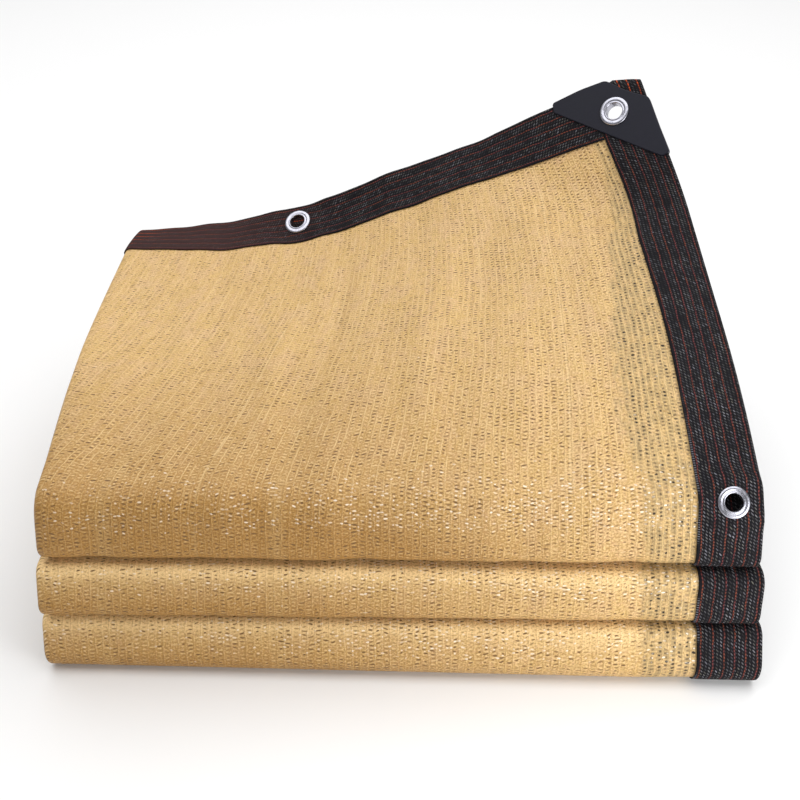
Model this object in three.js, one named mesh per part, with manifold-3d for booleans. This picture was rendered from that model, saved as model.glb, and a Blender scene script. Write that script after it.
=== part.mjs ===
// Knitted shade net with a taped hem, metal eyelets and one plastic corner, folded into a pile.
// Units are millimetres. +X is across the net to the taped side, +Y is away from the front rolls, +Z is up.
// The net is folded in half along its length, so the left edge is a fold and both long hems lie at the right.
// The doubled net then runs back and forth in six layers, with three front rolls and two back bends.

import * as THREE from 'three';
import { mergeVertices } from 'three/addons/utils/BufferGeometryUtils.js';
import Module from 'manifold-3d';

const wasm = await Module();
wasm.setup();

// Driving dimensions
const HALF_WIDTH = 500;        // half of the 1 m wide net, which is the folded width
const PANEL_DEPTH = 392;       // top panel, from the front corner of the first roll to its back edge
const NET_THICK = 1.0;
const TAPE_WIDTH = 45;
const TAPE_THICK = 3.0;        // two leaves of tape with the net between them
const TAPE_LAP = 10;           // how far the net reaches into the tape
const GAP = 0.3;               // clearance between pieces
const LOOSE_SPREAD = 5;        // from the middle of the doubled net to either sheet, in the loose top layer
const SNUG_SPREAD = 3;         // the same in the layers below

// Plastic corner, measured along the right edge and the back edge of the hem
const PATCH_THICK = 1.2;
const PATCH_LEG_BACK = 76;
const PATCH_LEG_RIGHT = 73;
const PATCH_REACH = 6;         // how far it stands out past the back edge
const PATCH_TIP_CUT = 28;      // the tape's tip shows past this cut
const TIP_SKEW = 4;            // the side tape's end is cut a little askew

// Eyelets
const EYELET_HOLE_SHARE = 0.56;  // hole's radius over the rim's radius
const EYELET_BARREL = 0.9;       // wall of the barrel
const EYELET_FLANGE = 1.3;
const EYELET_SIDES = 18;
const HOLE_SIDES = 16;
const HOLE_EXTRA = 0.5;          // the cut in the cloth is this much wider than the barrel

// How far the back edge of the top panel stands above its front, for each of the two sheets.
// The upper sheet's right corner is drawn up, and the lower sheet stays on the pile.
// hem is the part of that rise which the hem gains by itself, as it twists up or down.
const BACK_RISE = [
  { across: 0, upper: 12, lower: 12, hem: -9 },
  { across: 90, upper: 23, lower: 23, hem: 2 },
  { across: 180, upper: 50, lower: 39, hem: 13 },
  { across: 270, upper: 84, lower: 44, hem: 5 },
  { across: 360, upper: 118, lower: 38, hem: -4 },
  { across: 455, upper: 166, lower: 31, hem: -3 },
  { across: 500, upper: 181, lower: 28, hem: 1 },
];

// How much of that rise is reached on the way back, at the left and at the right edge.
// outLeft and outRight are how far the two edges stand out from a straight pile.
const RISE_ON_THE_WAY = [
  { depth: 0, left: 0, right: 0, outLeft: -1, outRight: 4 },
  { depth: 0.3, left: 0.62, right: 0.26, outLeft: 4, outRight: 3 },
  { depth: 0.6, left: 0.66, right: 0.5, outLeft: 6, outRight: 2 },
  { depth: 0.88, left: 0.7, right: 0.82, outLeft: 5, outRight: -0.3 },
  { depth: 1, left: 1, right: 1, outLeft: 1, outRight: -5 },
];

// Corners of the folded section in the middle of the doubled net, from the top panel down to the floor.
// turn is the bend's radius. skew is how much further back, and climb how much higher, the right end lies.
const BENDS = [
  { name: 'roll 1 top', y: 0, z: 141, turn: 17 },
  { name: 'roll 1 bottom', y: -13, z: 96, turn: 12, skew: -6, climb: -3, outLeft: 1, outRight: 6 },
  { name: 'back 1 top', y: 352, z: 124, turn: 14, skew: 4, climb: 0, outLeft: 0, outRight: 0 },
  { name: 'back 1 bottom', y: 358, z: 88, turn: 14, skew: 4, climb: 0, outLeft: 0, outRight: 0 },
  { name: 'roll 2 top', y: -14, z: 85, turn: 13, skew: -8, climb: -3, outLeft: 5, outRight: 11 },
  { name: 'roll 2 bottom', y: -25, z: 51, turn: 12, skew: -6, climb: -1, outLeft: 6, outRight: 10 },
  { name: 'back 2 top', y: 344, z: 68, turn: 14, skew: -4, climb: 0, outLeft: 0, outRight: 0 },
  { name: 'back 2 bottom', y: 350, z: 28, turn: 13, skew: -4, climb: 0, outLeft: 0, outRight: 0 },
  { name: 'roll 3 top', y: -20, z: 40, turn: 13, skew: -12, climb: -1, outLeft: 8, outRight: 15 },
  { name: 'roll 3 bottom', y: -42, z: 0, turn: 12, skew: -20, climb: 0, outLeft: 7, outRight: 14 },
  { name: 'bottom end', y: 330, z: 0, turn: 0, skew: 0, climb: 0, outLeft: 0, outRight: 0 },
];

// Segments of the section: the raised panel, then a straight run and a bend for each corner but the last
const PANEL = 0;
const straightBefore = (bend) => 1 + 2 * bend;
const bendSegment = (bend) => 2 + 2 * bend;
const LAST_RUN = straightBefore(BENDS.length - 1);
const PANEL_FRONT = 34;        // where the raised panel ends and the first straight run begins
const HEM_START = 337;         // where the hem's own twist begins
const END_RUN_LENGTH = BENDS.at(-1).y - BENDS.at(-2).y;
const panelStation = (fromBackEdge) => fromBackEdge / (PANEL_DEPTH - PANEL_FRONT);
const endStation = (fromEnd) => LAST_RUN + 1 - fromEnd / END_RUN_LENGTH;

// Helpers for smooth tables
function smoothTable(rows, xName, yName) {
  const x = rows.map((row) => row[xName]);
  const y = rows.map((row) => row[yName]);
  const slope = x.map((_, i) => {
    const a = Math.max(i - 1, 0);
    const b = Math.min(i + 1, x.length - 1);
    return (y[b] - y[a]) / (x[b] - x[a]);
  });
  return (value) => {
    const last = x.length - 1;
    if (value <= x[0]) return y[0] + slope[0] * (value - x[0]);
    if (value >= x[last]) return y[last] + slope[last] * (value - x[last]);
    const i = x.findIndex((limit) => value < limit) - 1;
    const width = x[i + 1] - x[i];
    const k = (value - x[i]) / width;
    const start = (1 + 2 * k) * (1 - k) ** 2 * y[i] + k * (1 - k) ** 2 * width * slope[i];
    const end = k * k * (3 - 2 * k) * y[i + 1] + k * k * (k - 1) * width * slope[i + 1];
    return start + end;
  };
}

const riseOfUpper = smoothTable(BACK_RISE, 'across', 'upper');
const riseOfLower = smoothTable(BACK_RISE, 'across', 'lower');
const riseOfHem = smoothTable(BACK_RISE, 'across', 'hem');
const wayAtLeft = smoothTable(RISE_ON_THE_WAY, 'depth', 'left');
const wayAtRight = smoothTable(RISE_ON_THE_WAY, 'depth', 'right');
const panelOutLeft = smoothTable(RISE_ON_THE_WAY, 'depth', 'outLeft');
const panelOutRight = smoothTable(RISE_ON_THE_WAY, 'depth', 'outRight');
const smoothStep = (from, to, value) => THREE.MathUtils.smoothstep(value, from, to);

// The raised top panel. side is 1 for the upper sheet and -1 for the lower sheet.
function panelRise(side, across, depth) {
  const share = across / HALF_WIDTH;
  const part = depth / PANEL_DEPTH;
  const rise = side > 0 ? riseOfUpper(across) : riseOfLower(across);
  const hem = riseOfHem(across);
  const twist = Math.max(0, (depth - HEM_START) / (PANEL_DEPTH - HEM_START)) ** 2;
  return (rise - hem) * (wayAtLeft(part) * (1 - share) + wayAtRight(part) * share) + hem * twist;
}

// Plan length of a stretch of cloth that keeps its real length while it climbs
function planLength(length, heightAt) {
  const steps = 24;
  const step = length / steps;
  let plan = 0;
  for (let i = 0; i < steps; i++) {
    const climb = heightAt((i + 1) * step) - heightAt(i * step);
    plan += Math.sign(length) * Math.sqrt(step * step - climb * climb);
  }
  return plan;
}

function panelPoint(side, across, depth) {
  const part = depth / PANEL_DEPTH;
  const x = planLength(across, (a) => panelRise(side, a, depth)) - HALF_WIDTH / 2;
  const y = planLength(depth, (d) => panelRise(side, across, d));
  const out = sidewaysOut(across, panelOutLeft(part), panelOutRight(part));
  return new THREE.Vector3(x + out, y, BENDS[0].z + panelRise(side, across, depth));
}

function sidewaysOut(across, outLeft, outRight) {
  return (outRight * across) / HALF_WIDTH - outLeft * (1 - across / HALF_WIDTH);
}

// The lowest layer lies flat. The net's face is on the floor, and so is the tape's, which is thicker.
const TAPE_EXTRA = (TAPE_THICK - NET_THICK) / 2;
const nearSideTape = (across) => smoothStep(HALF_WIDTH - 2 * TAPE_WIDTH, HALF_WIDTH - TAPE_WIDTH, across);

function nearEndTape(station) {
  return smoothStep(endStation(2 * TAPE_WIDTH), endStation(TAPE_WIDTH), station);
}

function floorHeight(across) {
  return SNUG_SPREAD + NET_THICK / 2 + TAPE_EXTRA * nearSideTape(across);
}

function bendCorner(side, index, across) {
  if (index === 0) return panelPoint(side, across, 0);
  const bend = BENDS[index];
  const y = bend.y + bend.skew * (across / HALF_WIDTH - 0.5);
  const z = bend.z === 0 ? floorHeight(across) : bend.z + bend.climb * (across / HALF_WIDTH - 0.5);
  const x = across - HALF_WIDTH / 2 + sidewaysOut(across, bend.outLeft, bend.outRight);
  return new THREE.Vector3(x, y, z);
}

// A rounded corner between two straight runs: its first and last point and the arc between them
function roundedCorner(before, corner, after, radius) {
  const into = corner.clone().sub(before).normalize();
  const out = after.clone().sub(corner).normalize();
  const turn = into.angleTo(out);
  const reach = radius * Math.tan(turn / 2);
  const start = corner.clone().addScaledVector(into, -reach);
  const inward = out.clone().addScaledVector(into, -into.dot(out)).normalize();
  const centre = start.clone().addScaledVector(inward, radius);
  const at = (part) => centre.clone()
    .addScaledVector(inward, -radius * Math.cos(turn * part))
    .addScaledVector(into, radius * Math.sin(turn * part));
  return { start, end: at(1), at };
}

function cornerOf(side, index, across) {
  const before = index === 0 ? panelPoint(side, across, PANEL_FRONT) : bendCorner(side, index - 1, across);
  const after = bendCorner(side, index + 1, across);
  return roundedCorner(before, bendCorner(side, index, across), after, BENDS[index].turn);
}

const segmentOf = (station) => THREE.MathUtils.clamp(Math.floor(station), PANEL, LAST_RUN);

// The middle of the doubled net. A station is a segment number plus the part of it that is passed.
function middlePoint(side, across, station) {
  const segment = segmentOf(station);
  const part = station - segment;
  if (segment === PANEL) return panelPoint(side, across, PANEL_DEPTH + (PANEL_FRONT - PANEL_DEPTH) * part);
  if (segment % 2 === 0) return cornerOf(side, segment / 2 - 1, across).at(part);
  const next = (segment - 1) / 2;
  const from = next === 0 ? panelPoint(side, across, PANEL_FRONT) : cornerOf(side, next - 1, across).end;
  const to = segment === LAST_RUN ? bendCorner(side, next, across) : cornerOf(side, next, across).start;
  const point = from.lerp(to, part);
  if (segment === LAST_RUN) point.z += TAPE_EXTRA * nearEndTape(station) * (1 - nearSideTape(across));
  return point;
}

// Unit normal of a surface given as a function of across and station
function normalOf(surface, across, station) {
  const step = 0.004;
  const back = station - segmentOf(station) > 0.5 ? step : 0;
  const along = surface(across, station - back + step).sub(surface(across, station - back));
  const sideways = surface(across + 0.5, station).sub(surface(across - 0.5, station));
  return along.cross(sideways).normalize();
}

function middleNormal(side, across, station) {
  return normalOf((a, s) => middlePoint(side, a, s), across, station);
}

// Half of the distance between the two sheets, which closes up below the first roll's top
function spreadAt(station) {
  const closing = smoothStep(bendSegment(0) + 1, bendSegment(1) + 1, station);
  return LOOSE_SPREAD + (SNUG_SPREAD - LOOSE_SPREAD) * closing;
}

function curvedSheet(side, across, station) {
  const lift = side * spreadAt(station);
  return middlePoint(side, across, station).addScaledVector(middleNormal(side, across, station), lift);
}

// Places on the upper sheet that a hard fitting keeps flat, out to flat and eased off out to eased.
// rim is the eyelet's outer radius.
const EYELETS = {
  corner: { across: HALF_WIDTH - 30, station: panelStation(23), rim: 12.5, flat: 58, eased: 135 },
  back: { across: 163, station: panelStation(19), rim: 12.5, flat: 17, eased: 36 },
  front: { across: HALF_WIDTH - 21, station: bendSegment(0) + 0.57, rim: 11.3, flat: 16, eased: 29 },
};
for (const place of Object.values(EYELETS)) {
  place.centre = curvedSheet(1, place.across, place.station);
  place.normal = normalOf((a, s) => curvedSheet(1, a, s), place.across, place.station);
}

// The plastic corner's plane runs through the hem's tip and the ends of its two legs
const patchPlane = new THREE.Plane().setFromCoplanarPoints(
  curvedSheet(1, HALF_WIDTH, 0),
  curvedSheet(1, HALF_WIDTH - PATCH_LEG_BACK, 0),
  curvedSheet(1, HALF_WIDTH, panelStation(PATCH_LEG_RIGHT)),
);
EYELETS.corner.normal = patchPlane.normal;
patchPlane.projectPoint(EYELETS.corner.centre.clone(), EYELETS.corner.centre);

function sheetPoint(side, across, station) {
  const point = curvedSheet(side, across, station);
  if (side < 0) return point;
  for (const place of Object.values(EYELETS)) {
    const away = point.distanceTo(place.centre);
    const height = point.clone().sub(place.centre).dot(place.normal);
    point.addScaledVector(place.normal, -height * (1 - smoothStep(place.flat, place.eased, away)));
  }
  return point;
}

// A point of the cloth. A column is a place across one sheet, or an angle round the left fold.
// out is measured from the middle of the sheet, away from the other sheet.
function clothPoint(column, station, out) {
  if (column.fold === undefined) {
    const { side, across } = column;
    const normal = normalOf((a, s) => sheetPoint(side, a, s), across, station);
    return sheetPoint(side, across, station).addScaledVector(normal, side * out);
  }
  const spread = spreadAt(station);
  const across = spread - (spread + out) * Math.sin(column.fold);
  const rise = (spread + out) * Math.cos(column.fold);
  return middlePoint(1, across, station).addScaledVector(middleNormal(1, across, station), rise);
}

// Columns across the doubled net, from the upper sheet's edge round the left fold to the lower sheet's edge.
// The back eyelet has closer columns on both sides.
const FOLD_STEPS = 4;
const UPPER_PLACES = [438, 418, 385, 340, 285, 228, 196, 179, 163, 147, 130, 100, 55, 20];
const LOWER_PLACES = [435, 360, 285, 200, 110, 20];
function columnsAcross(edgePlaces) {
  const upper = [...edgePlaces, ...UPPER_PLACES].map((across) => ({ side: 1, across }));
  const lower = [...edgePlaces, ...LOWER_PLACES].map((across) => ({ side: -1, across })).reverse();
  const fold = Array.from({ length: FOLD_STEPS + 1 }, (_, i) => ({ fold: (Math.PI * i) / FOLD_STEPS }));
  return [...upper, ...fold, ...lower];
}

// Rows along the net
const LONG_RUN = 200;
const NET_EDGE = TAPE_WIDTH - TAPE_LAP;
const PANEL_ROWS = [TAPE_WIDTH, 60, 76, 94, 118, 148, 184, 222, 262, 300, 332].map(panelStation);

function rowsAfterPanel() {
  const rows = [straightBefore(0), straightBefore(0) + 0.8];
  const firstBend = [0, 0.25, 0.5, 0.75];
  const frontBend = [0, 0.33, 0.67];
  const backBend = [0, 0.5];
  for (let bend = 0; bend < BENDS.length - 1; bend++) {
    const plainBend = BENDS[bend].y > PANEL_DEPTH / 2 ? backBend : frontBend;
    const steps = bend === 0 ? firstBend : plainBend;
    rows.push(...steps.map((part) => bendSegment(bend) + part));
    const run = Math.abs(BENDS[bend + 1].y - BENDS[bend].y);
    const halfWay = bend === 0 ? 0.32 : 0.5;
    const runParts = run > LONG_RUN || bend === 0 ? [0, halfWay] : [0];
    rows.push(...runParts.map((part) => straightBefore(bend + 1) + part));
  }
  rows.push(endStation(2 * TAPE_WIDTH), endStation(1.5 * TAPE_WIDTH), endStation(TAPE_WIDTH));
  return rows;
}

const SHARED_ROWS = [...PANEL_ROWS, ...rowsAfterPanel()];

// Closed solids from rings of points, each ring with the same number of points.
// runsBack says where a ring runs back along the sheet's other face, so that both faces split alike.
function meshData(rings, capTriangles, runsBack) {
  const size = rings[0].length;
  const triangles = [];
  for (let r = 0; r < rings.length - 1; r++) {
    for (let i = 0; i < size; i++) {
      const j = (i + 1) % size;
      const [a, b, c, d] = [r * size + i, r * size + j, (r + 1) * size + i, (r + 1) * size + j];
      if (runsBack(i)) triangles.push([a, b, c], [b, d, c]);
      else triangles.push([a, b, d], [a, d, c]);
    }
  }
  const last = (rings.length - 1) * size;
  for (const [a, b, c] of capTriangles) {
    triangles.push([a, c, b], [last + a, last + b, last + c]);
  }
  return { points: rings.flat(), triangles };
}

function geometryFrom({ points, triangles }) {
  const geometry = new THREE.BufferGeometry();
  geometry.setAttribute('position', new THREE.Float32BufferAttribute(points.flatMap((p) => p.toArray()), 3));
  geometry.setIndex(triangles.flat());
  return volumeOf(geometry) < 0 ? turnedInsideOut(geometry) : geometry;
}

function volumeOf(geometry) {
  const place = geometry.getAttribute('position');
  const index = geometry.getIndex().array;
  const corner = [new THREE.Vector3(), new THREE.Vector3(), new THREE.Vector3()];
  let volume = 0;
  for (let i = 0; i < index.length; i += 3) {
    corner.forEach((point, k) => point.fromBufferAttribute(place, index[i + k]));
    volume += corner[0].dot(corner[1].cross(corner[2])) / 6;
  }
  return volume;
}

function turnedInsideOut(geometry) {
  const index = Array.from(geometry.getIndex().array);
  for (let i = 0; i < index.length; i += 3) [index[i], index[i + 1]] = [index[i + 1], index[i]];
  geometry.setIndex(index);
  return geometry;
}

// Joining and cutting
function toManifold(geometry) {
  const bare = geometry.clone();
  bare.deleteAttribute('normal');
  bare.deleteAttribute('uv');
  const merged = mergeVertices(bare, 1e-4);
  const vertProperties = Float32Array.from(merged.getAttribute('position').array);
  const triVerts = Uint32Array.from(merged.getIndex().array);
  return new wasm.Manifold(new wasm.Mesh({ numProp: 3, vertProperties, triVerts }));
}

function fromManifold(solid) {
  const mesh = solid.getMesh();
  const geometry = new THREE.BufferGeometry();
  geometry.setAttribute('position', new THREE.Float32BufferAttribute(Array.from(mesh.vertProperties), 3));
  geometry.setIndex(Array.from(mesh.triVerts));
  return geometry;
}

// A frame at an eyelet with Z along the cloth's normal and X towards the right edge
function frameAt(place) {
  const near = 4;
  const right = sheetPoint(1, place.across + near, place.station);
  const ahead = right.sub(sheetPoint(1, place.across - near, place.station));
  const z = place.normal.clone();
  const x = ahead.addScaledVector(z, -ahead.dot(z)).normalize();
  const y = z.clone().cross(x);
  return new THREE.Matrix4().makeBasis(x, y, z).setPosition(place.centre);
}

const eyeletBarrel = (place) => place.rim * EYELET_HOLE_SHARE + EYELET_BARREL;

function eyeletHole(place) {
  const radius = eyeletBarrel(place) + HOLE_EXTRA;
  const drill = new THREE.CylinderGeometry(radius, radius, 4 * TAPE_THICK, HOLE_SIDES);
  drill.rotateX(Math.PI / 2).applyMatrix4(frameAt(place));
  return toManifold(drill);
}

function cutHoles(geometry, places) {
  const solid = places.reduce((body, place) => body.subtract(eyeletHole(place)), toManifold(geometry));
  return fromManifold(solid);
}

// The net: one sheet, doubled over the left fold
function netGeometry() {
  const columns = columnsAcross([HALF_WIDTH - NET_EDGE, HALF_WIDTH - TAPE_WIDTH]);
  const rows = [panelStation(NET_EDGE), ...SHARED_ROWS, endStation(NET_EDGE)];
  const half = NET_THICK / 2;
  const rings = rows.map((station) => [
    ...columns.map((column) => clothPoint(column, station, half)),
    ...columns.toReversed().map((column) => clothPoint(column, station, -half)),
  ]);
  const last = 2 * columns.length - 1;
  const cap = columns.slice(1).flatMap((_, i) => [[i, i + 1, last - i], [i + 1, last - i - 1, last - i]]);
  return geometryFrom(meshData(rings, cap, (i) => i >= columns.length));
}

// The tape's section: two leaves that are one outside the net's edge. Its points are given by how far
// they lie inward from the hem's outer edge. steps are the places in between.
const PLAIN_STEPS = [TAPE_WIDTH / 2];
const EYELET_STEPS = [22, 8];

function tapeSection(steps) {
  const half = TAPE_THICK / 2;
  const slot = NET_THICK / 2 + GAP;
  const slotEnd = NET_EDGE - GAP;
  const face = [TAPE_WIDTH, slotEnd, ...steps, 0];
  return [
    ...face.map((inward) => [inward, half]),
    ...face.toReversed().map((inward) => [inward, -half]),
    [TAPE_WIDTH, -slot], [slotEnd, -slot], [slotEnd, slot], [TAPE_WIDTH, slot],
  ].map(([inward, out]) => new THREE.Vector2(inward, out));
}

function tapeFrom(section, rings) {
  const cap = THREE.ShapeUtils.triangulateShape(section, []);
  return geometryFrom(meshData(rings, cap, (i) => section[(i + 1) % section.length].x < section[i].x));
}

function sideTapeGeometry(side, steps) {
  const section = tapeSection(steps);
  const tip = [11, 23, NET_EDGE].map(panelStation);
  const end = [NET_EDGE, TAPE_WIDTH / 2, 0].map(endStation);
  const ring = (stationAt) => section.map(({ x, y }) => (
    clothPoint({ side, across: HALF_WIDTH - x }, stationAt(x), y)
  ));
  const cutEnd = ring((inward) => panelStation((-TIP_SKEW * inward) / TAPE_WIDTH));
  const rings = [cutEnd, ...[...tip, ...SHARED_ROWS, ...end].map((station) => ring(() => station))];
  return tapeFrom(section, rings);
}

function endTapeGeometry(stationAt, steps) {
  const section = tapeSection(steps);
  const rings = columnsAcross([HALF_WIDTH - TAPE_WIDTH - GAP]).map((column) => (
    section.map(({ x, y }) => clothPoint(column, stationAt(x), y))
  ));
  return tapeFrom(section, rings);
}

// The plastic corner is laid out on the hem, in the corner eyelet's frame.
// Its rows are distances from the right edge and from the back edge of the hem.
const PATCH_WALL = GAP + PATCH_THICK;
const PATCH_OUTLINE = [
  { fromRight: -PATCH_WALL, fromBack: 20 },
  { fromRight: 14, fromBack: 8 },
  { fromRight: 23, fromBack: -1 },
  { fromRight: PATCH_TIP_CUT, fromBack: -PATCH_REACH },
  { fromRight: 50, fromBack: -5 },
  { fromRight: PATCH_LEG_BACK, fromBack: -2.5 },
  { fromRight: PATCH_LEG_BACK + 2, fromBack: 6 },
  { fromRight: 6, fromBack: PATCH_LEG_RIGHT },
  { fromRight: -PATCH_WALL, fromBack: PATCH_LEG_RIGHT - 3 },
  { fromRight: -PATCH_WALL, fromBack: 45 },
];
const ROOM_END = 110;
const ROOM_FOR_TAPES = [
  { fromRight: -GAP, fromBack: -TIP_SKEW - GAP },
  { fromRight: TAPE_WIDTH + 2, fromBack: -TIP_SKEW - GAP },
  { fromRight: TAPE_WIDTH + 2, fromBack: -GAP },
  { fromRight: 65, fromBack: -GAP },
  { fromRight: ROOM_END, fromBack: -GAP },
  { fromRight: ROOM_END, fromBack: ROOM_END },
  { fromRight: -GAP, fromBack: ROOM_END },
  { fromRight: -GAP, fromBack: 60 },
  { fromRight: -GAP, fromBack: 30 },
];

function cornerPatchGeometry() {
  const frame = frameAt(EYELETS.corner);
  const toLocal = frame.clone().invert();
  const layout = ({ fromRight, fromBack }) => {
    const point = sheetPoint(1, HALF_WIDTH - fromRight, panelStation(fromBack)).applyMatrix4(toLocal);
    return new THREE.Vector2(point.x, point.y);
  };
  const hollow = TAPE_THICK / 2 + GAP;
  const plate = (rows, half) => {
    const outline = new THREE.Shape(rows.map(layout));
    const shape = new THREE.ExtrudeGeometry(outline, { depth: 2 * half, bevelEnabled: false });
    return toManifold(shape.translate(0, 0, -half).applyMatrix4(frame));
  };
  const shell = plate(PATCH_OUTLINE, hollow + PATCH_THICK).subtract(plate(ROOM_FOR_TAPES, hollow));
  return fromManifold(shell.subtract(eyeletHole(EYELETS.corner)));
}

// An eyelet: a barrel with a rolled rim in front and a washer behind, closed round its own axis
function eyeletGeometry(place, clamped) {
  const seat = clamped / 2 + GAP;
  const { rim } = place;
  const barrel = eyeletBarrel(place);
  const hole = barrel - EYELET_BARREL;
  const back = -seat - 0.8 * EYELET_FLANGE;
  const profile = [
    [hole, back], [rim - 0.6, back], [rim - 0.2, -seat - 0.4], [rim - 0.6, -seat], [barrel, -seat],
    [barrel, seat], [rim - 0.3, seat], [rim, seat + 0.45 * EYELET_FLANGE], [rim - 0.7, seat + EYELET_FLANGE],
    [rim - 1.7, seat + 0.95 * EYELET_FLANGE], [rim - 2.4, seat + 0.7 * EYELET_FLANGE],
    [hole + 1.2, seat + 1.2 * EYELET_FLANGE], [hole + 0.4, seat + 1.1 * EYELET_FLANGE], [hole, seat + 0.5],
    [hole, back],
  ].map(([radius, height]) => new THREE.Vector2(radius, height));
  const ring = mergedLathe(profile);
  return ring.rotateX(Math.PI / 2).applyMatrix4(frameAt(place));
}

function mergedLathe(profile) {
  const lathe = new THREE.LatheGeometry(profile, EYELET_SIDES);
  lathe.deleteAttribute('normal');
  lathe.deleteAttribute('uv');
  const merged = mergeVertices(lathe, 1e-4);
  return volumeOf(merged) < 0 ? turnedInsideOut(merged) : merged;
}

// Materials
function material(color, roughness, metalness) {
  return new THREE.MeshStandardMaterial({ color, roughness, metalness });
}
const netMaterial = material(0xdcb878, 0.75, 0);
const tapeMaterial = material(0x26242a, 0.7, 0);
const plasticMaterial = material(0x2e2f38, 0.45, 0);
const metalMaterial = material(0xd8dadd, 0.25, 0.9);

// The model
const shadeNet = new THREE.Group();

function addPiece(name, geometry, look) {
  const piece = new THREE.Mesh(geometry, look);
  piece.name = name;
  shadeNet.add(piece);
}

addPiece('net', netGeometry(), netMaterial);
const upperSideTape = cutHoles(sideTapeGeometry(1, EYELET_STEPS), [EYELETS.corner, EYELETS.front]);
const topEndTape = cutHoles(endTapeGeometry(panelStation, EYELET_STEPS), [EYELETS.back]);
addPiece('side_tape_upper', upperSideTape, tapeMaterial);
addPiece('side_tape_lower', sideTapeGeometry(-1, PLAIN_STEPS), tapeMaterial);
addPiece('end_tape_top', topEndTape, tapeMaterial);
addPiece('end_tape_bottom', endTapeGeometry(endStation, PLAIN_STEPS), tapeMaterial);
addPiece('corner_patch', cornerPatchGeometry(), plasticMaterial);
const patchedStack = TAPE_THICK + 2 * (GAP + PATCH_THICK);
addPiece('eyelet_corner', eyeletGeometry(EYELETS.corner, patchedStack), metalMaterial);
addPiece('eyelet_back', eyeletGeometry(EYELETS.back, TAPE_THICK), metalMaterial);
addPiece('eyelet_front', eyeletGeometry(EYELETS.front, TAPE_THICK), metalMaterial);

// The origin is in the middle of the pile's plan, on the floor
const middle = new THREE.Box3().setFromObject(shadeNet).getCenter(new THREE.Vector3());
for (const piece of shadeNet.children) piece.geometry.translate(-middle.x, -middle.y, 0);

export default shadeNet;
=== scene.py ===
import math

import bmesh
import bpy
import numpy as np
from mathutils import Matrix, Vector


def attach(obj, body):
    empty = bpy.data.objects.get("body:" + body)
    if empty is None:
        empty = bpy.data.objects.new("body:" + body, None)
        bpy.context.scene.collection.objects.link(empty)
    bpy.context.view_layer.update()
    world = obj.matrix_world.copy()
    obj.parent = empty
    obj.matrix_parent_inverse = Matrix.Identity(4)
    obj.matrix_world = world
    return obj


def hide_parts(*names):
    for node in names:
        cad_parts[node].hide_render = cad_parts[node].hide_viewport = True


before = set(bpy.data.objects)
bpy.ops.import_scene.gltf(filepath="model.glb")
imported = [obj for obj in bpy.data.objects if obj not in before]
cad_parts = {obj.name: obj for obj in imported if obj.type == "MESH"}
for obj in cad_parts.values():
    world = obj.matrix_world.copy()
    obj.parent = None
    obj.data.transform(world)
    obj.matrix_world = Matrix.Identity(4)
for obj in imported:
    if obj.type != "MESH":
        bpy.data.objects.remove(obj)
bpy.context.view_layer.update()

# A knitted shade net with a taped hem, three metal eyelets and one plastic corner, folded into a pile.
# The net is folded in half, so the left edge is a fold and both long hems lie at the right.
# The doubled net then runs back and forth in six layers, with three front rolls and two back bends.
# Sizes are in millimetres up to to_scene, which gives metres in the model's frame.


# Camera
CAMERA_PLACE = (0.00053, -0.76458, 0.626)
CAMERA_PITCH = 34.2  # degrees below level
CAMERA_LENS = 49.5
CAMERA_SENSOR = 36.0
CAMERA_NEAR = 0.02


def make_camera():
    data = bpy.data.cameras.new("camera")
    data.lens = CAMERA_LENS
    data.sensor_width = CAMERA_SENSOR
    data.clip_start = CAMERA_NEAR
    camera = bpy.data.objects.new("camera", data)
    camera.location = CAMERA_PLACE
    camera.rotation_euler = (math.radians(90 - CAMERA_PITCH), 0, 0)
    bpy.context.scene.collection.objects.link(camera)
    bpy.context.scene.camera = camera


make_camera()


def table(columns, *rows):
    """Rows of values under named columns."""
    return [dict(zip(columns.split(), row)) for row in rows]


# The cloth's sizes
HALF_WIDTH = 500.0
PANEL_DEPTH = 392.0
NET_THICK = 1.0
TAPE_WIDTH = 45.0
TAPE_THICK = 3.0
TAPE_LAP = 10.0
GAP = 0.3
LOOSE_SPREAD = 5.0
SNUG_SPREAD = 3.0
PANEL_FRONT = 34.0
HEM_START = 337.0
NET_EDGE = TAPE_WIDTH - TAPE_LAP
MIDDLE = np.array([3.27223, 175.08249, 0.0])  # the pile's middle, which is the frame's origin

# The plastic corner
PATCH_THICK = 1.2
PATCH_LEG_BACK = 76.0
PATCH_LEG_RIGHT = 73.0
PATCH_REACH = 6.0
PATCH_TIP_CUT = 28.0
TIP_SKEW = 4.0
PATCH_WALL = GAP + PATCH_THICK

# The eyelets
EYELET_HOLE_SHARE = 0.56
EYELET_BARREL = 0.9
EYELET_FLANGE = 1.3
HOLE_EXTRA = 0.5

BACK_RISE = {
    "across": (0, 90, 180, 270, 360, 455, 500),
    "upper": (12, 23, 50, 84, 118, 166, 181),
    "lower": (12, 23, 39, 44, 38, 31, 28),
    "hem": (-9, 2, 13, 5, -4, -3, 1),
}
RISE_ON_THE_WAY = {
    "depth": (0, 0.3, 0.6, 0.88, 1),
    "left": (0, 0.62, 0.66, 0.7, 1),
    "right": (0, 0.26, 0.5, 0.82, 1),
    "out_left": (-1, 4, 6, 5, 1),
    "out_right": (4, 3, 2, -0.3, -5),
}
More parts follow.
